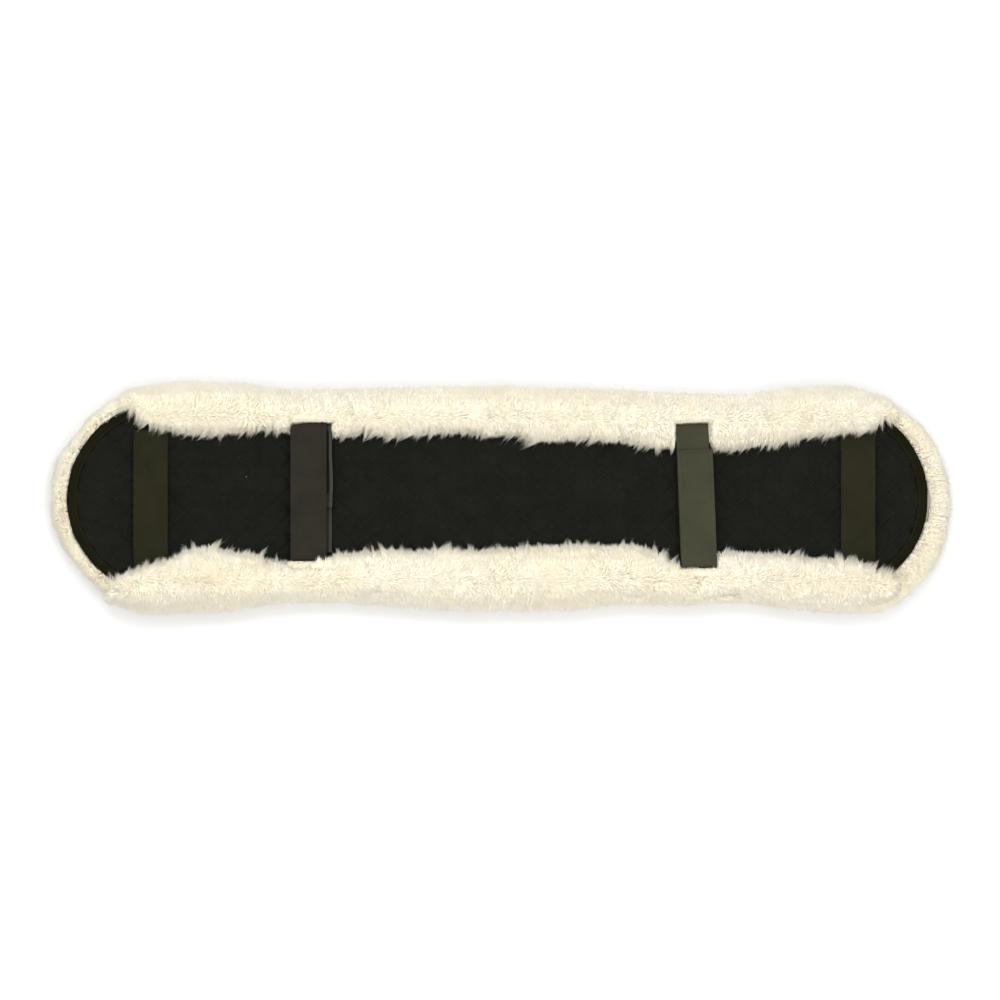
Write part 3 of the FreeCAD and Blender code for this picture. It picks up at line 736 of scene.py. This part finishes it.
def rim_locks(core):
    """Locks and hairs on the flank of the underside's pile, and on its rim where no roll covers it."""
    parts = {"left_rim": (-400, -270), "middle_rim": (-270, 270), "right_rim": (270, 400)}
    for number, (name, (west, east)) in enumerate(parts.items()):
        def wanted(spots, west=west, east=east):
            x, y, z = axes(spots)
            bare = np.maximum(ease(np.abs(x), 296, 326), 1 - ease(pile_edge(x, y), 92, 97))
            flank = (z > 3.6) & (z < 20.8)
            upper = (z > 20.8) & (radial(spots)[0] > 85.8 - bare)
            return (x >= west) * (x < east) * (flank * 0.8 + upper * 2.2 * bare)
        for kind, count, rings, radii, clump, extra in (("locks", LOCKS, SHORT_LOCK, (0.38, 0.62), 0.4, 0),
                                                        ("hairs", HAIRS, FINE_LOCK, (0.36, 0.52), 0.12, 50)):
            seed = 120 + number + extra
            roots, normals = scatter(core, count, wanted, seed)
            distance, outward = radial(roots)
            top = ease(roots[:, 2], 21, 25)
            lean = outward * (0.45 + 0.35 * ease(distance, 86, 91))[:, None]
            lean[:, 2] += 0.35 * top
            pulled = PILE_RADIUS - pile_edge(roots[:, 0], roots[:, 1])
            length = 6.3 + 0.6 * top - np.maximum(pulled - MOST_PULLED_IN, 0)
            tips = comb(roots, normals, length[:, None], lean, 1.0, clump, 0.4, seed + 20)
            thick = np.random.default_rng(seed + 40).uniform(*radii, len(roots))
            if kind == "hairs":
                loose_ends(roots, tips, thick, ease(distance, 88, 91), seed + 45)
            locks(f"{name}_{kind}", roots, normals, tips, thick, seed + 60, rings)


def underside_locks(core):
    """Thick clipped locks under the sleeve, which it lies on."""
    roots, normals = scatter(core, FRINGE_LOCKS, lambda spots: (spots[:, 2] < 4.2) * 1.0, 200)
    sway = np.random.default_rng(201).normal(size=roots.shape) * [0.8, 0.8, 0.1]
    tips = comb(roots, normals, np.full((len(roots), 1), 5.0), sway, 0.8, 0.5, 0.5, 202, droop=0.0)
    thick = np.random.default_rng(203).uniform(0.7, 1.3, len(roots))
    locks("underside_locks", roots, normals, tips, thick, 204)


def fleece():
    """All the wool: two rolls with their fringes, the hairs round the straps, the rim and the underside."""
    base = cloth("wool_base", (0.86, 0.77, 0.58), (0.95, 0.89, 0.73), 0.95, (1.3, 1.1), sheen=0.3, bump=0.6)
    for name, side, inner, outer in ROLLS:
        core = tube(f"{name}_roll_core", roll_core(name, side, inner, outer), base, flip=side > 0,
                    stands_for=[f"{name}_roll_wool"], slot="wool")
        roll_locks(name, side, outer, core)
        fringe(name, side, inner, core)
    left, right = STRAPS
    wisps("left_strap_rear_wisps", left, 1, [(-23, 16, 1.0, 900), (-22, -8, 2.6, 160), (4, 14, 1.8, 120)])
    wisps("left_strap_front_wisps", left, -1, [(-22, 16, 0.2, 800), (2, 15, 6.5, 320)])
    wisps("right_strap_rear_wisps", right, 1, [(-18, 18, 0.0, 800), (-18, -13, 2.0, 60)])
    wisps("right_strap_front_wisps", right, -1, [(-17, 18, 0.2, 800), (-17, 3, 3.2, 260)])
    points, faces = pile_core()
    core = build("underside_core", points, faces, [base], stands_for=["underside_wool"], slot="wool")
    rim_locks(core)
    underside_locks(core)


# ---------------------------------------------------------------- the quilted panel

def stadium_grid(radius, along_count, across_count):
    """Points of a grid that fills the panel's outline, as x and y."""
    bend = np.sin(np.linspace(-math.pi / 2, math.pi / 2, across_count))
    y = radius * (0.25 * bend + 0.75 * np.linspace(-1, 1, across_count))
    reach = PANEL_SPACING + np.sqrt(np.maximum(radius ** 2 - y ** 2, 0))
    x = np.linspace(-1, 1, along_count)[None, :] * reach[:, None]
    return x, np.broadcast_to(y[:, None], x.shape)


def puff(x, y):
    """How full the quilting is at a point, from 0 on a stitched line to 1 in a diamond's middle."""
    full = 1.0
    for lean in (1, -1):
        wave = np.sin(math.pi * (x + lean * y) / QUILT_PITCH) ** 2
        full = full * wave * 1.07 / (wave + 0.07)
    spots = spread(x, y)
    distance = radial(spots.reshape(-1, 3))[0].reshape(x.shape)
    full = full * (1 - 0.75 * ease(distance, 70, 78)) * (1 + 0.15 * waves(spots, 40, 301))
    for strap in STRAPS:
        beside = np.abs(axes(strap.local(spots))[0])
        full = full * (1 - 0.62 * (1 - ease(beside, WEB_HALF - 1, WEB_HALF + 4)))
    for middle in KEEPERS.values():
        foot = (1 - ease(np.abs(x - middle), WEB_HALF - 1, WEB_HALF + 4)) * ease(np.abs(y), 44, 52)
        full = full * (1 - 0.62 * foot)
    return full


def face_height(x, y):
    """Height of the top of the face cloth."""
    spots = spread(x, y)
    crease = 0.10 * waves(spots, 6, 302) + 0.05 * waves(spots, 2.6, 303)
    return FACE_TOP - 0.85 + 2.3 * puff(x, y) + crease


def rim(rows, columns):
    """The points round the edge of a grid, in order."""
    grid = np.arange(rows * columns).reshape(rows, columns)
    return np.concatenate([grid[0], grid[1:, -1], grid[-1, -2::-1], grid[-2:0:-1, 0]])


def walls(upper, lower):
    """Quads between two closed rings of point numbers."""
    return np.stack([upper, lower, np.roll(lower, -1), np.roll(upper, -1)], -1)


def face_cloth(material):
    """The quilted face cloth: its upper face, turned down round its edge."""
    x, y = stadium_grid(PANEL_RADIUS - 0.3, 692, 142)
    upper = spread(x, y, face_height(x, y)).reshape(-1, 3)
    rows, columns = x.shape
    edge = rim(rows, columns)
    turned_down = 0.7
    skirt = upper[edge] - [0, 0, turned_down]
    faces = np.concatenate([grid_faces(rows, columns), walls(edge, rows * columns + np.arange(len(edge)))])
    return build("quilted_face", np.concatenate([upper, skirt]), faces, [material],
                 stands_for=["quilt_face_cloth"], slot="quilt_cloth")


def layer(name, top, bottom, counts, material, stands_for, slot, radius):
    """A closed layer of the panel between two heights, each a function of x and y."""
    x, y = stadium_grid(radius, *counts)
    sides = [spread(x, y, height(x, y)).reshape(-1, 3) for height in (top, bottom)]
    rows, columns = x.shape
    count = rows * columns
    upper = grid_faces(rows, columns)
    edge = rim(rows, columns)
    faces = np.concatenate([upper, upper[:, ::-1] + count, walls(edge, edge + count)])
    return build(name, np.concatenate(sides), faces, [material], stands_for=[stands_for], slot=slot)


def threads(name, starts, ends, radius, lift, material, slot="dark_thread", **more):
    """Sewn stitches, each a short closed lozenge that lifts in its middle between its two ends."""
    starts, ends = np.asarray(starts, float), np.asarray(ends, float)
    up = np.array([0, 0, 1.0])
    side = unit(np.cross(unit(ends - starts), up))
    corners = []
    for share, width, rise in ((0.12, 0.75, 0.55), (0.5, 1.0, 1.0), (0.88, 0.75, 0.55)):
        here = starts + (ends - starts) * share + up * lift * rise
        for turn in np.arange(5) * 2 * math.pi / 5:
            corners.append(here + (side * math.cos(turn) + up * math.sin(turn)) * radius * width)
    points = np.stack(corners + [starts, ends], 1)
    pattern = ring_sides(5, 3)
    for corner in range(5):
        after = (corner + 1) % 5
        pattern += [(15, after, corner), (16, 10 + corner, 10 + after)]
    return copies(name, points, np.array(pattern)[:, ::-1], [material], slot=slot, **more)


def quilting():
    """Stitches along both sets of diagonal lines, sunk between the puffs."""
    pitch, long, lines, end_radius = 3.4, 2.6, 18, 75
    starts, ends = [], []
    reach = PANEL_RADIUS - 1.5
    half = long / math.sqrt(8)
    for lean in (1, -1):
        for line in range(-lines, lines + 1):
            for y in np.arange(-reach, reach, pitch / math.sqrt(2)):
                x = line * QUILT_PITCH + lean * y
                if abs(x) < PANEL_SPACING or math.hypot(abs(x) - PANEL_SPACING, y) < end_radius:
                    starts.append((x - lean * half, y - half))
                    ends.append((x + lean * half, y + half))
    sewn = [np.column_stack([spots, face_height(*np.transpose(spots))]) for spots in (starts, ends)]
    threads("quilting_stitches", *sewn, 0.2, 0.32, THREAD, stands_for=["quilting_threads"])


def panel():
    """Hide, lining, wadding and face cloth, with the quilting sewn through them."""
    face = cloth("face_cloth", (0.0044, 0.0048, 0.0032), (0.0082, 0.0087, 0.0062), 0.95, (0.42, 0.42),
                 0.03, 0.5)
    face_cloth(face)
    low, high = box("quilt_wadding")
    filling = cloth("wadding", (0.62, 0.62, 0.60), (0.85, 0.85, 0.83), 1.0, (1.6, 1.6), 0.1, 0.8)
    pad = layer("quilt_filling", lambda x, y: face_height(x, y) - 1.5, lambda x, y: low[2], (320, 70),
                filling, "quilt_wadding", "wadding", PANEL_RADIUS - 0.8)
    rumple = 0.05

    def rumpled(base):
        """A height that ripples a little about a base."""
        return lambda x, y: base + rumple * waves(spread(x, y), 15, 310)

    for name, stands, material, slot, under_it in (
            ("lining_sheet", "quilt_lining", LINING, "lining_cloth", "hide_sheet"),
            ("hide_sheet", "underside_hide", HIDE, "hide", "underside_core")):
        low, high = box(stands)
        item = layer(name, rumpled(high[2] - rumple), rumpled(low[2]), (200, 50), material, stands, slot,
                     PANEL_RADIUS - 0.5)
    quilting()


# ---------------------------------------------------------------- tapes and webbing

def resample(path, step):
    """Points at even steps along a path of (y, z) points whose corners are eased."""
    path = np.array(path, float)
    dense = []
    for first, second in zip(path[:-1], path[1:]):
        shares = np.linspace(0, 1, max(2, int(np.linalg.norm(second - first) / 0.2)), endpoint=False)
        dense.append(first + (second - first) * shares[:, None])
    dense = np.concatenate(dense + [path[-1:]])
    window = 9
    padded = np.pad(dense, ((window, window), (0, 0)), "edge")
    kernel = np.hanning(2 * window + 3)[1:-1]
    kernel /= kernel.sum()
    eased = np.stack([np.convolve(padded[:, axis], kernel, "valid") for axis in range(2)], -1)
    run = np.concatenate([[0], np.cumsum(np.linalg.norm(np.diff(eased, axis=0), axis=1))])
    count = int(run[-1] / step) + 1
    marks = np.linspace(0, run[-1], count)
    return np.stack([np.interp(marks, run, eased[:, axis]) for axis in range(2)], -1)


def webbing(name, path, middle, half, place, materials, seed, curl=0.25, edge_from=NO_EDGE, end_skew=0.0,
            thin_end=0.0, **more):
    """A ribbed strip swept along a path of (y, z) points. middle gives its centre line's x at the run along
    the path, and place turns its points into the part's frame. Beyond edge_from, a share of its half width,
    it takes its second material, a painted highlight along its edge. Its end is cut askew by end_skew, and
    pressed thinner by thin_end."""
    step, weft_pitch, rib_pitch = 0.8, 1.6, 1.25
    line = resample(path, step)
    ahead = unit(np.gradient(line, axis=0))
    out = np.stack([-ahead[:, 1], ahead[:, 0]], -1)
    lane = np.linspace(-1, 1, 61)
    ribs = 0.07 * np.cos(lane * half * 2 * math.pi / rib_pitch) * (np.abs(lane) < 0.86)
    selvedge = 0.16 * np.exp(-((np.abs(lane) - 0.95) / 0.035) ** 2)
    shape = ribs + selvedge - 0.28 * ease(np.abs(lane), 0.975, 1.0)
    run = np.arange(len(line)) * step
    weft = 0.035 * np.cos(run * 2 * math.pi / weft_pitch)
    warp = curl * waves(spread(run), 38, seed + 2)
    edge = 1 + 0.006 * waves(spread(run), 14, seed + 3)
    askew = end_skew * ease(run, run[-1] - 14, run[-1])
    depth = WEB / 2 * (1 - thin_end * ease(run, run[-1] - 3.0, run[-1]))[:, None]
    surfaces = []
    for face in (1, -1):
        height = face * (depth + shape + weft[:, None] * face)
        height = height + warp[:, None] * (lane ** 2 - 0.3)
        x = middle(run)[:, None] + half * lane * edge[:, None]
        y = line[:, :1] + out[:, :1] * height + askew[:, None] * lane
        z = line[:, 1:] + out[:, 1:] * height
        surfaces.append(spread(x, y, z))
    top, bottom = surfaces
    loop = np.concatenate([top, bottom[:, ::-1]], 1)
    rows, columns = loop.shape[:2]
    faces = grid_faces(rows, columns, close_columns=True)
    lanes = len(lane)
    ends = []
    for row, flip in ((0, False), (rows - 1, True)):
        first = row * columns + np.arange(lanes - 1)
        other = row * columns + columns - 1 - np.arange(lanes - 1)
        cap = np.stack([first, first + 1, other - 1, other], -1)
        ends.append(cap if flip else cap[:, ::-1])
    both = np.concatenate([lane, lane[::-1]])
    at_edge = np.abs((both + np.roll(both, -1)) / 2) > edge_from
    tones = np.concatenate([np.tile(at_edge, rows - 1), np.zeros(2 * (lanes - 1), bool)])
    return build(name, place(loop), np.concatenate([faces] + ends), materials, slot="webbing", tones=tones,
                 **more)


def keepers():
    """The two sewn keepers: webbing bridges whose ends run under the rolls."""
    foot = BED + WEB / 2
    bridge = KEEPER_TOP - WEB / 2
    zigzag = 1.1
    for name, middle in KEEPERS.items():
        half_path = [(BRIDGE_END, bridge), (FOOT_START, foot), (FOOT_END, foot)]
        path = [(-y, z) for y, z in half_path[::-1]] + half_path
        webbing(f"{name}_keeper_webbing", path, lambda run, middle=middle: np.full(run.shape, middle),
                WEB_HALF, lambda points: points, [WEBBING], len(name), stands_for=[f"{name}_outer_keeper"])
        starts, ends = [], []
        for line in (56.0, 58.6):
            for side in (-1, 1):
                for number, step in enumerate(np.arange(-13, 13, zigzag)):
                    shift = 0.5 * (-1) ** number
                    starts.append((middle + step, side * (line + 0.5) + shift, BED + WEB))
                    ends.append((middle + step + zigzag, side * (line + 0.5) - shift, BED + WEB))
        threads(f"{name}_keeper_tacking", starts, ends, 0.2, 0.2, THREAD, stands_for=[f"{name}_keeper_tacks"])


def box_rows(strap, front, rear, height, shift=0.0, cross=False):
    """Ends of the stitches of a sewn rectangle, in the part's frame."""
    half, pitch, long = 12, 3.0, 2.3
    corners = [(-half, front), (half, front), (half, rear), (-half, rear)]
    lines = list(zip(corners, corners[1:] + corners[:1]))
    if cross:
        lines += [(corners[0], corners[2]), (corners[1], corners[3])]
    starts, ends = [], []
    for first, second in lines:
        first, second = np.array(first, float), np.array(second, float)
        run = np.linalg.norm(second - first)
        way = (second - first) / run
        for step in np.arange(pitch / 2, run - pitch / 2, pitch):
            for spots, offset in ((starts, -long / 2), (ends, long / 2)):
                spot = first + way * (step + offset)
                spots.append((spot[0] + shift, spot[1], height))
    return strap.world(starts), strap.world(ends)


def strap_pieces(strap):
    """One hook-and-loop strap: sewn band, return, flap, tapes and stitches."""
    name = strap.name
    flat = BED + WEB / 2
    rise = RISE_LOW + WEB / 2
    back = RETURN_TOP - WEB / 2
    upper = FLAP_TOP - WEB / 2
    front = strap.hinge_y + 3.4
    bend = (rise + back) / 2
    radius = (back - rise) / 2
    fold = [(FOLD_MIDDLE + radius * math.sin(turn), bend - radius * math.cos(turn))
            for turn in np.linspace(0, math.pi, 9)]
    path = [(front, rise), (-41, flat), (41, flat), (56, rise)] + fold + [(strap.return_end, back)]

    def bowed(run):
        """The return bows to one side about the middle of its length."""
        return strap.bow * np.exp(-((run - 166) / 22) ** 2)

    # The band's second material paints a highlight along its edge.
    webbing(f"{name}_band_webbing", path, bowed, strap.band_half, strap.world, [FLAP_WEBBING[name], EDGE_HIGHLIGHT],
            5 + len(name), curl=0.1, edge_from=strap.edge_from, stands_for=[f"{name}_sewn_band"])
    rear_box = box_rows(strap, 33.3, 40, BED + WEB, cross=True)
    front_box = box_rows(strap, -40, -33.3, BED + WEB, cross=True)
    rows = [np.concatenate(pair) for pair in zip(rear_box, front_box)]
    threads(f"{name}_band_stitching", *rows, 0.2, 0.2, THREAD, stands_for=[f"{name}_band_stitches"])

    hinge_z = (rise + upper) / 2
    radius = (upper - rise) / 2
    fold = [(strap.hinge_y - radius * math.sin(turn), hinge_z - radius * math.cos(turn))
            for turn in np.linspace(0, math.pi, 13)]
    path = [(front - 0.4, rise)] + fold + [(strap.flap_end - 2.8, upper), (strap.flap_end, upper - 1.5)]
    flap = webbing(f"{name}_flap_webbing", path, lambda run: np.full(run.shape, strap.shift), strap.flap_half,
                   strap.world, [FLAP_WEBBING[name]], 9 + len(name), curl=0.22, end_skew=strap.end_skew,
                   thin_end=0.5, body=None, stands_for=[f"{name}_flap"])
    low_point = strap.world([strap.shift, strap.hinge_y, RISE_LOW])
    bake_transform(flap)
    tape_rear = strap.flap_end - 2.6
    rows = box_rows(strap, tape_rear - 44, tape_rear, FLAP_TOP, shift=strap.shift)
    threads(f"{name}_flap_stitching", *rows, 0.2, 0.2, FLAP_THREAD[name], body=f"{name}_strap",
            stands_for=[f"{name}_flap_stitches"])
    hook_tape(strap, tape_rear)
    loop_tape(strap)


def slab(strap, half, front, rear, low, high, shift=0.0):
    """Points and faces of a thin tape with rounded corners, in the part's frame."""
    corner = 2.0
    ring = []
    for sx, sy, start in ((1, 1, 0), (-1, 1, 90), (-1, -1, 180), (1, -1, 270)):
        cx, cy = sx * (half - corner), (rear - corner if sy > 0 else front + corner)
        for turn in np.radians(np.linspace(start, start + 90, 5)):
            ring.append((cx + corner * math.cos(turn) + shift, cy + corner * math.sin(turn)))
    ring = np.array(ring)
    middle = ring.mean(0)
    rings = []
    for scale, height in ((0.0, low), (1.0, low), (1.0, high - 0.15), (0.985, high), (0.0, high)):
        rings.append(np.column_stack([middle + (ring - middle) * scale, np.full(len(ring), height)]))
    return strap.world(np.concatenate(rings)), grid_faces(len(rings), len(ring), close_columns=True)


def hook_tape(strap, rear):
    """Stiff tape under the flap, with rows of small hooks that point down."""
    low, high = box(f"{strap.name}_hook_tape")
    points, faces = slab(strap, 13, rear - 44.4, rear + 0.6, low[2] + 0.35, high[2], strap.shift)
    build(f"{strap.name}_hook_tape_backing", points, faces, [HOOKS], body=f"{strap.name}_strap",
          stands_for=[f"{strap.name}_hook_tape"], slot="hook_tape", smooth=False)
    gap = 1.45
    x, y = np.meshgrid(np.arange(-11.6, 11.7, gap), np.arange(rear - 42.6, rear - 1, gap))
    base = spread(x.ravel() + strap.shift, y.ravel(), low[2] + 0.4)
    side = np.where((np.arange(len(base)) // x.shape[1]) % 2, 1.0, -1.0)[:, None]
    down, over = np.array([0, 0, -1.0]), np.array([0, 1.0, 0])
    stem = [(0.0, 0.0, 0.2), (0.32, 0.02, 0.17), (0.5, 0.2, 0.14), (0.42, 0.42, 0.08)]
    rings = []
    for drop, reach, wide in stem:
        here = base + down * drop * 0.8 + over * reach * side
        for turn in np.arange(4) * math.pi / 2:
            rings.append(here + np.array([math.cos(turn), math.sin(turn), 0]) * wide)
    pattern = grid_faces(4, 4, close_columns=True)
    pattern = np.concatenate([pattern, [[3, 2, 1, 0], [12, 13, 14, 15]]])[:, ::-1]
    copies(f"{strap.name}_hooks", strap.world(np.stack(rings, 1)), pattern, [HOOKS],
           body=f"{strap.name}_strap", slot="hook_tape")


def loop_tape(strap):
    """Soft tape on the band's return, covered in small curled fibres."""
    low, high = box(f"{strap.name}_loop_tape")
    rear = min(60, strap.flap_end - 2)
    # Its colour is partly painted shade for the gap beside the flap.
    points, faces = slab(strap, 13, 4, rear, low[2], high[2] - 0.35)
    build(f"{strap.name}_loop_tape_backing", points, faces, [LOOPS_AND_SHADE], stands_for=[f"{strap.name}_loop_tape"],
          slot="loop_tape", smooth=False)
    rng = np.random.default_rng(400 + len(strap.name))
    per_millimetre = 47
    count = int(per_millimetre * (rear - 4))
    base = spread(rng.uniform(-12.4, 12.4, count), rng.uniform(4.6, rear - 0.6, count), high[2] - 0.4)
    turn = rng.uniform(0, 2 * math.pi, count)
    over = spread(np.cos(turn), np.sin(turn)) * rng.uniform(0.5, 1.1, (count, 1))
    starts, ends = base - over / 2, base + over / 2
    threads(f"{strap.name}_loop_pile", strap.world(starts), strap.world(ends), 0.1, 0.28, LOOPS_AND_SHADE,
            slot="loop_tape")


def bindings():
    """Folded tape round each half-round end, with its row of stitches."""
    low, high = box("left_end_binding")
    top, bottom = high[2], low[2]
    outer = PANEL_RADIUS + 0.9
    stitch_ring, pitch, half_length = 77.6, 2.5, math.radians(1.0)
    # The tape's section, as (radius, height): over the top lap, round the edge, and back under it.
    profile = np.array([
        (75.8, top - 0.7), (76.2, top + 0.05), (78.0, top + 0.1), (80.5, top + 0.55), (83.0, top + 0.35),
        (84.6, top - 0.7), (outer + 0.2, 27), (outer, 24), (84.2, bottom + 0.5), (82.4, bottom + 0.1),
        (76.4, bottom + 0.1), (76.2, bottom + 0.8), (82.8, bottom + 0.9), (84.0, 23), (84.1, 27),
        (83.2, top - 0.9), (80, top - 0.75)])
    # Each end's tape starts at an angle and goes on for another, in degrees.
    for name, side, start, sweep in (("left", -1, 107, 132), ("right", 1, -54, 106)):
        middle = side * PANEL_SPACING

        def pucker(turns, side=side):
            spots = spread(turns * 80)
            return 0.16 * waves(spots, 5.5, 500 + side) + 0.12 * waves(spots, 16, 501)

        turns = np.radians(np.linspace(start, start + sweep, 240))
        wander = 0.35 * waves(spread(turns * 80), 30, 502)[:, None]
        radius = profile[:, 0] + wander * (profile[:, 0] > 82)
        height = profile[:, 1] + pucker(turns)[:, None] * (profile[:, 1] > 28)
        points = spread(middle + radius * np.cos(turns)[:, None], radius * np.sin(turns)[:, None], height)
        tube(f"{name}_binding_tape", points, BINDING, stands_for=[f"{name}_end_binding"],
             slot="binding_tape")
        steps = np.radians(np.arange(start + 1, start + sweep - 1, pitch))
        sewn = top + 0.1 + pucker(steps)
        starts, ends = [spread(middle + stitch_ring * np.cos(here), stitch_ring * np.sin(here), sewn)
                        for here in (steps - half_length, steps + half_length)]
        threads(f"{name}_binding_stitching", starts, ends, 0.22, 0.2, THREAD,
                stands_for=[f"{name}_binding_stitches"])


def roll_hides():
    """The flat hide of each roll and the seam that holds it, both under the wool."""
    for name, side, inner, _ in ROLLS:
        low, high = box(f"{name}_roll_hide")
        x = np.linspace(low[0] + 8, high[0] - 8, 160)
        near = np.maximum(62.2, along(inner, x) + 6)
        far = panel_edge(x, PANEL_RADIUS - 0.4, least=63)
        share = np.linspace(0, 1, 12)
        y = near[:, None] + (far - near)[:, None] * share
        ripple = 0.15 * waves(spread(x[:, None], y), 18, 520)
        top = high[2] - 0.15 + ripple
        bottom = low[2] + 0.75 + ripple * 0.5
        loop_y = np.concatenate([y, y[:, ::-1]], 1) * side
        loop_z = np.concatenate([top, bottom[:, ::-1]], 1)
        item = tube(f"{name}_roll_skin", spread(x[:, None], loop_y, loop_z), HIDE, flip=side > 0,
                    stands_for=[f"{name}_roll_hide"], slot="hide")
        low, high = box(f"{name}_roll_seam")
        long, pitch = 4.0, 5.0
        base = spread(np.arange(low[0], high[0] - long, pitch), (low[1] + high[1]) / 2, low[2])
        threads(f"{name}_seam_stitching", base, base + [long, 0, 0], 0.3, 0.25, PALE_THREAD,
                slot="pale_thread", stands_for=[f"{name}_roll_seam"])


# ---------------------------------------------------------------- the sleeve

WOOL = [plain(f"wool_{number + 1}", tone, 0.85, 0.25) for number, tone in enumerate(WOOL_TONES)]
THREAD = plain("thread", (0.016, 0.0155, 0.0105), 0.65, 0.05)
# The right flap's thread is lighter to match its webbing, painted light too.
FLAP_THREAD = {
    "left": plain("left_flap_thread", (0.0150, 0.0135, 0.0090), 0.7, 0.05),
    "right": plain("right_flap_thread", (0.0350, 0.0350, 0.0200), 0.7, 0.05),
}
PALE_THREAD = plain("pale_thread", (0.7, 0.66, 0.54), 0.7, 0.2)
HOOKS = plain("hook_plastic", (0.014, 0.0135, 0.011), 0.5)
# The loop tape's own near-black, made darker still as painted shade where it shows in the deep gap beside the
# flap's edge.
LOOPS_AND_SHADE = plain("loop_fibre", (0.0065, 0.0062, 0.0045), 0.9, 0.02, 0.03)
WEBBING = web("webbing", (0.0098, 0.0093, 0.0036), (0.0150, 0.0145, 0.0066))
# Both flaps are the same webbing; the right one's lighter copy is painted light, for the light that falls on
# it.
FLAP_WEBBING = {
    "left": web("left_flap_webbing", (0.0132, 0.0116, 0.0078), (0.0205, 0.0180, 0.0128)),
    "right": web("right_flap_webbing", (0.0310, 0.0308, 0.0180), (0.0410, 0.0410, 0.0255), 0.06),
}
# A paler, greyer copy of the webbing: a painted highlight where the band's edge catches the light.
EDGE_HIGHLIGHT = web("selvedge", (0.030, 0.032, 0.028), (0.040, 0.042, 0.037), 0.06)
BINDING = cloth("binding", (0.0058, 0.0056, 0.0024), (0.0094, 0.0090, 0.0046), 0.9, (0.6, 0.6), 0.0, 0.5,
                gloss=0.01)
LINING = cloth("lining", (0.012, 0.012, 0.011), (0.02, 0.02, 0.018), 0.9, (0.5, 0.5))
HIDE = cloth("hide", (0.55, 0.48, 0.36), (0.72, 0.65, 0.52), 0.9, (1.4, 1.7), 0.2, 0.4)

look()
panel()
bindings()
roll_hides()
keepers()
for each in STRAPS:
    strap_pieces(each)
fleece()
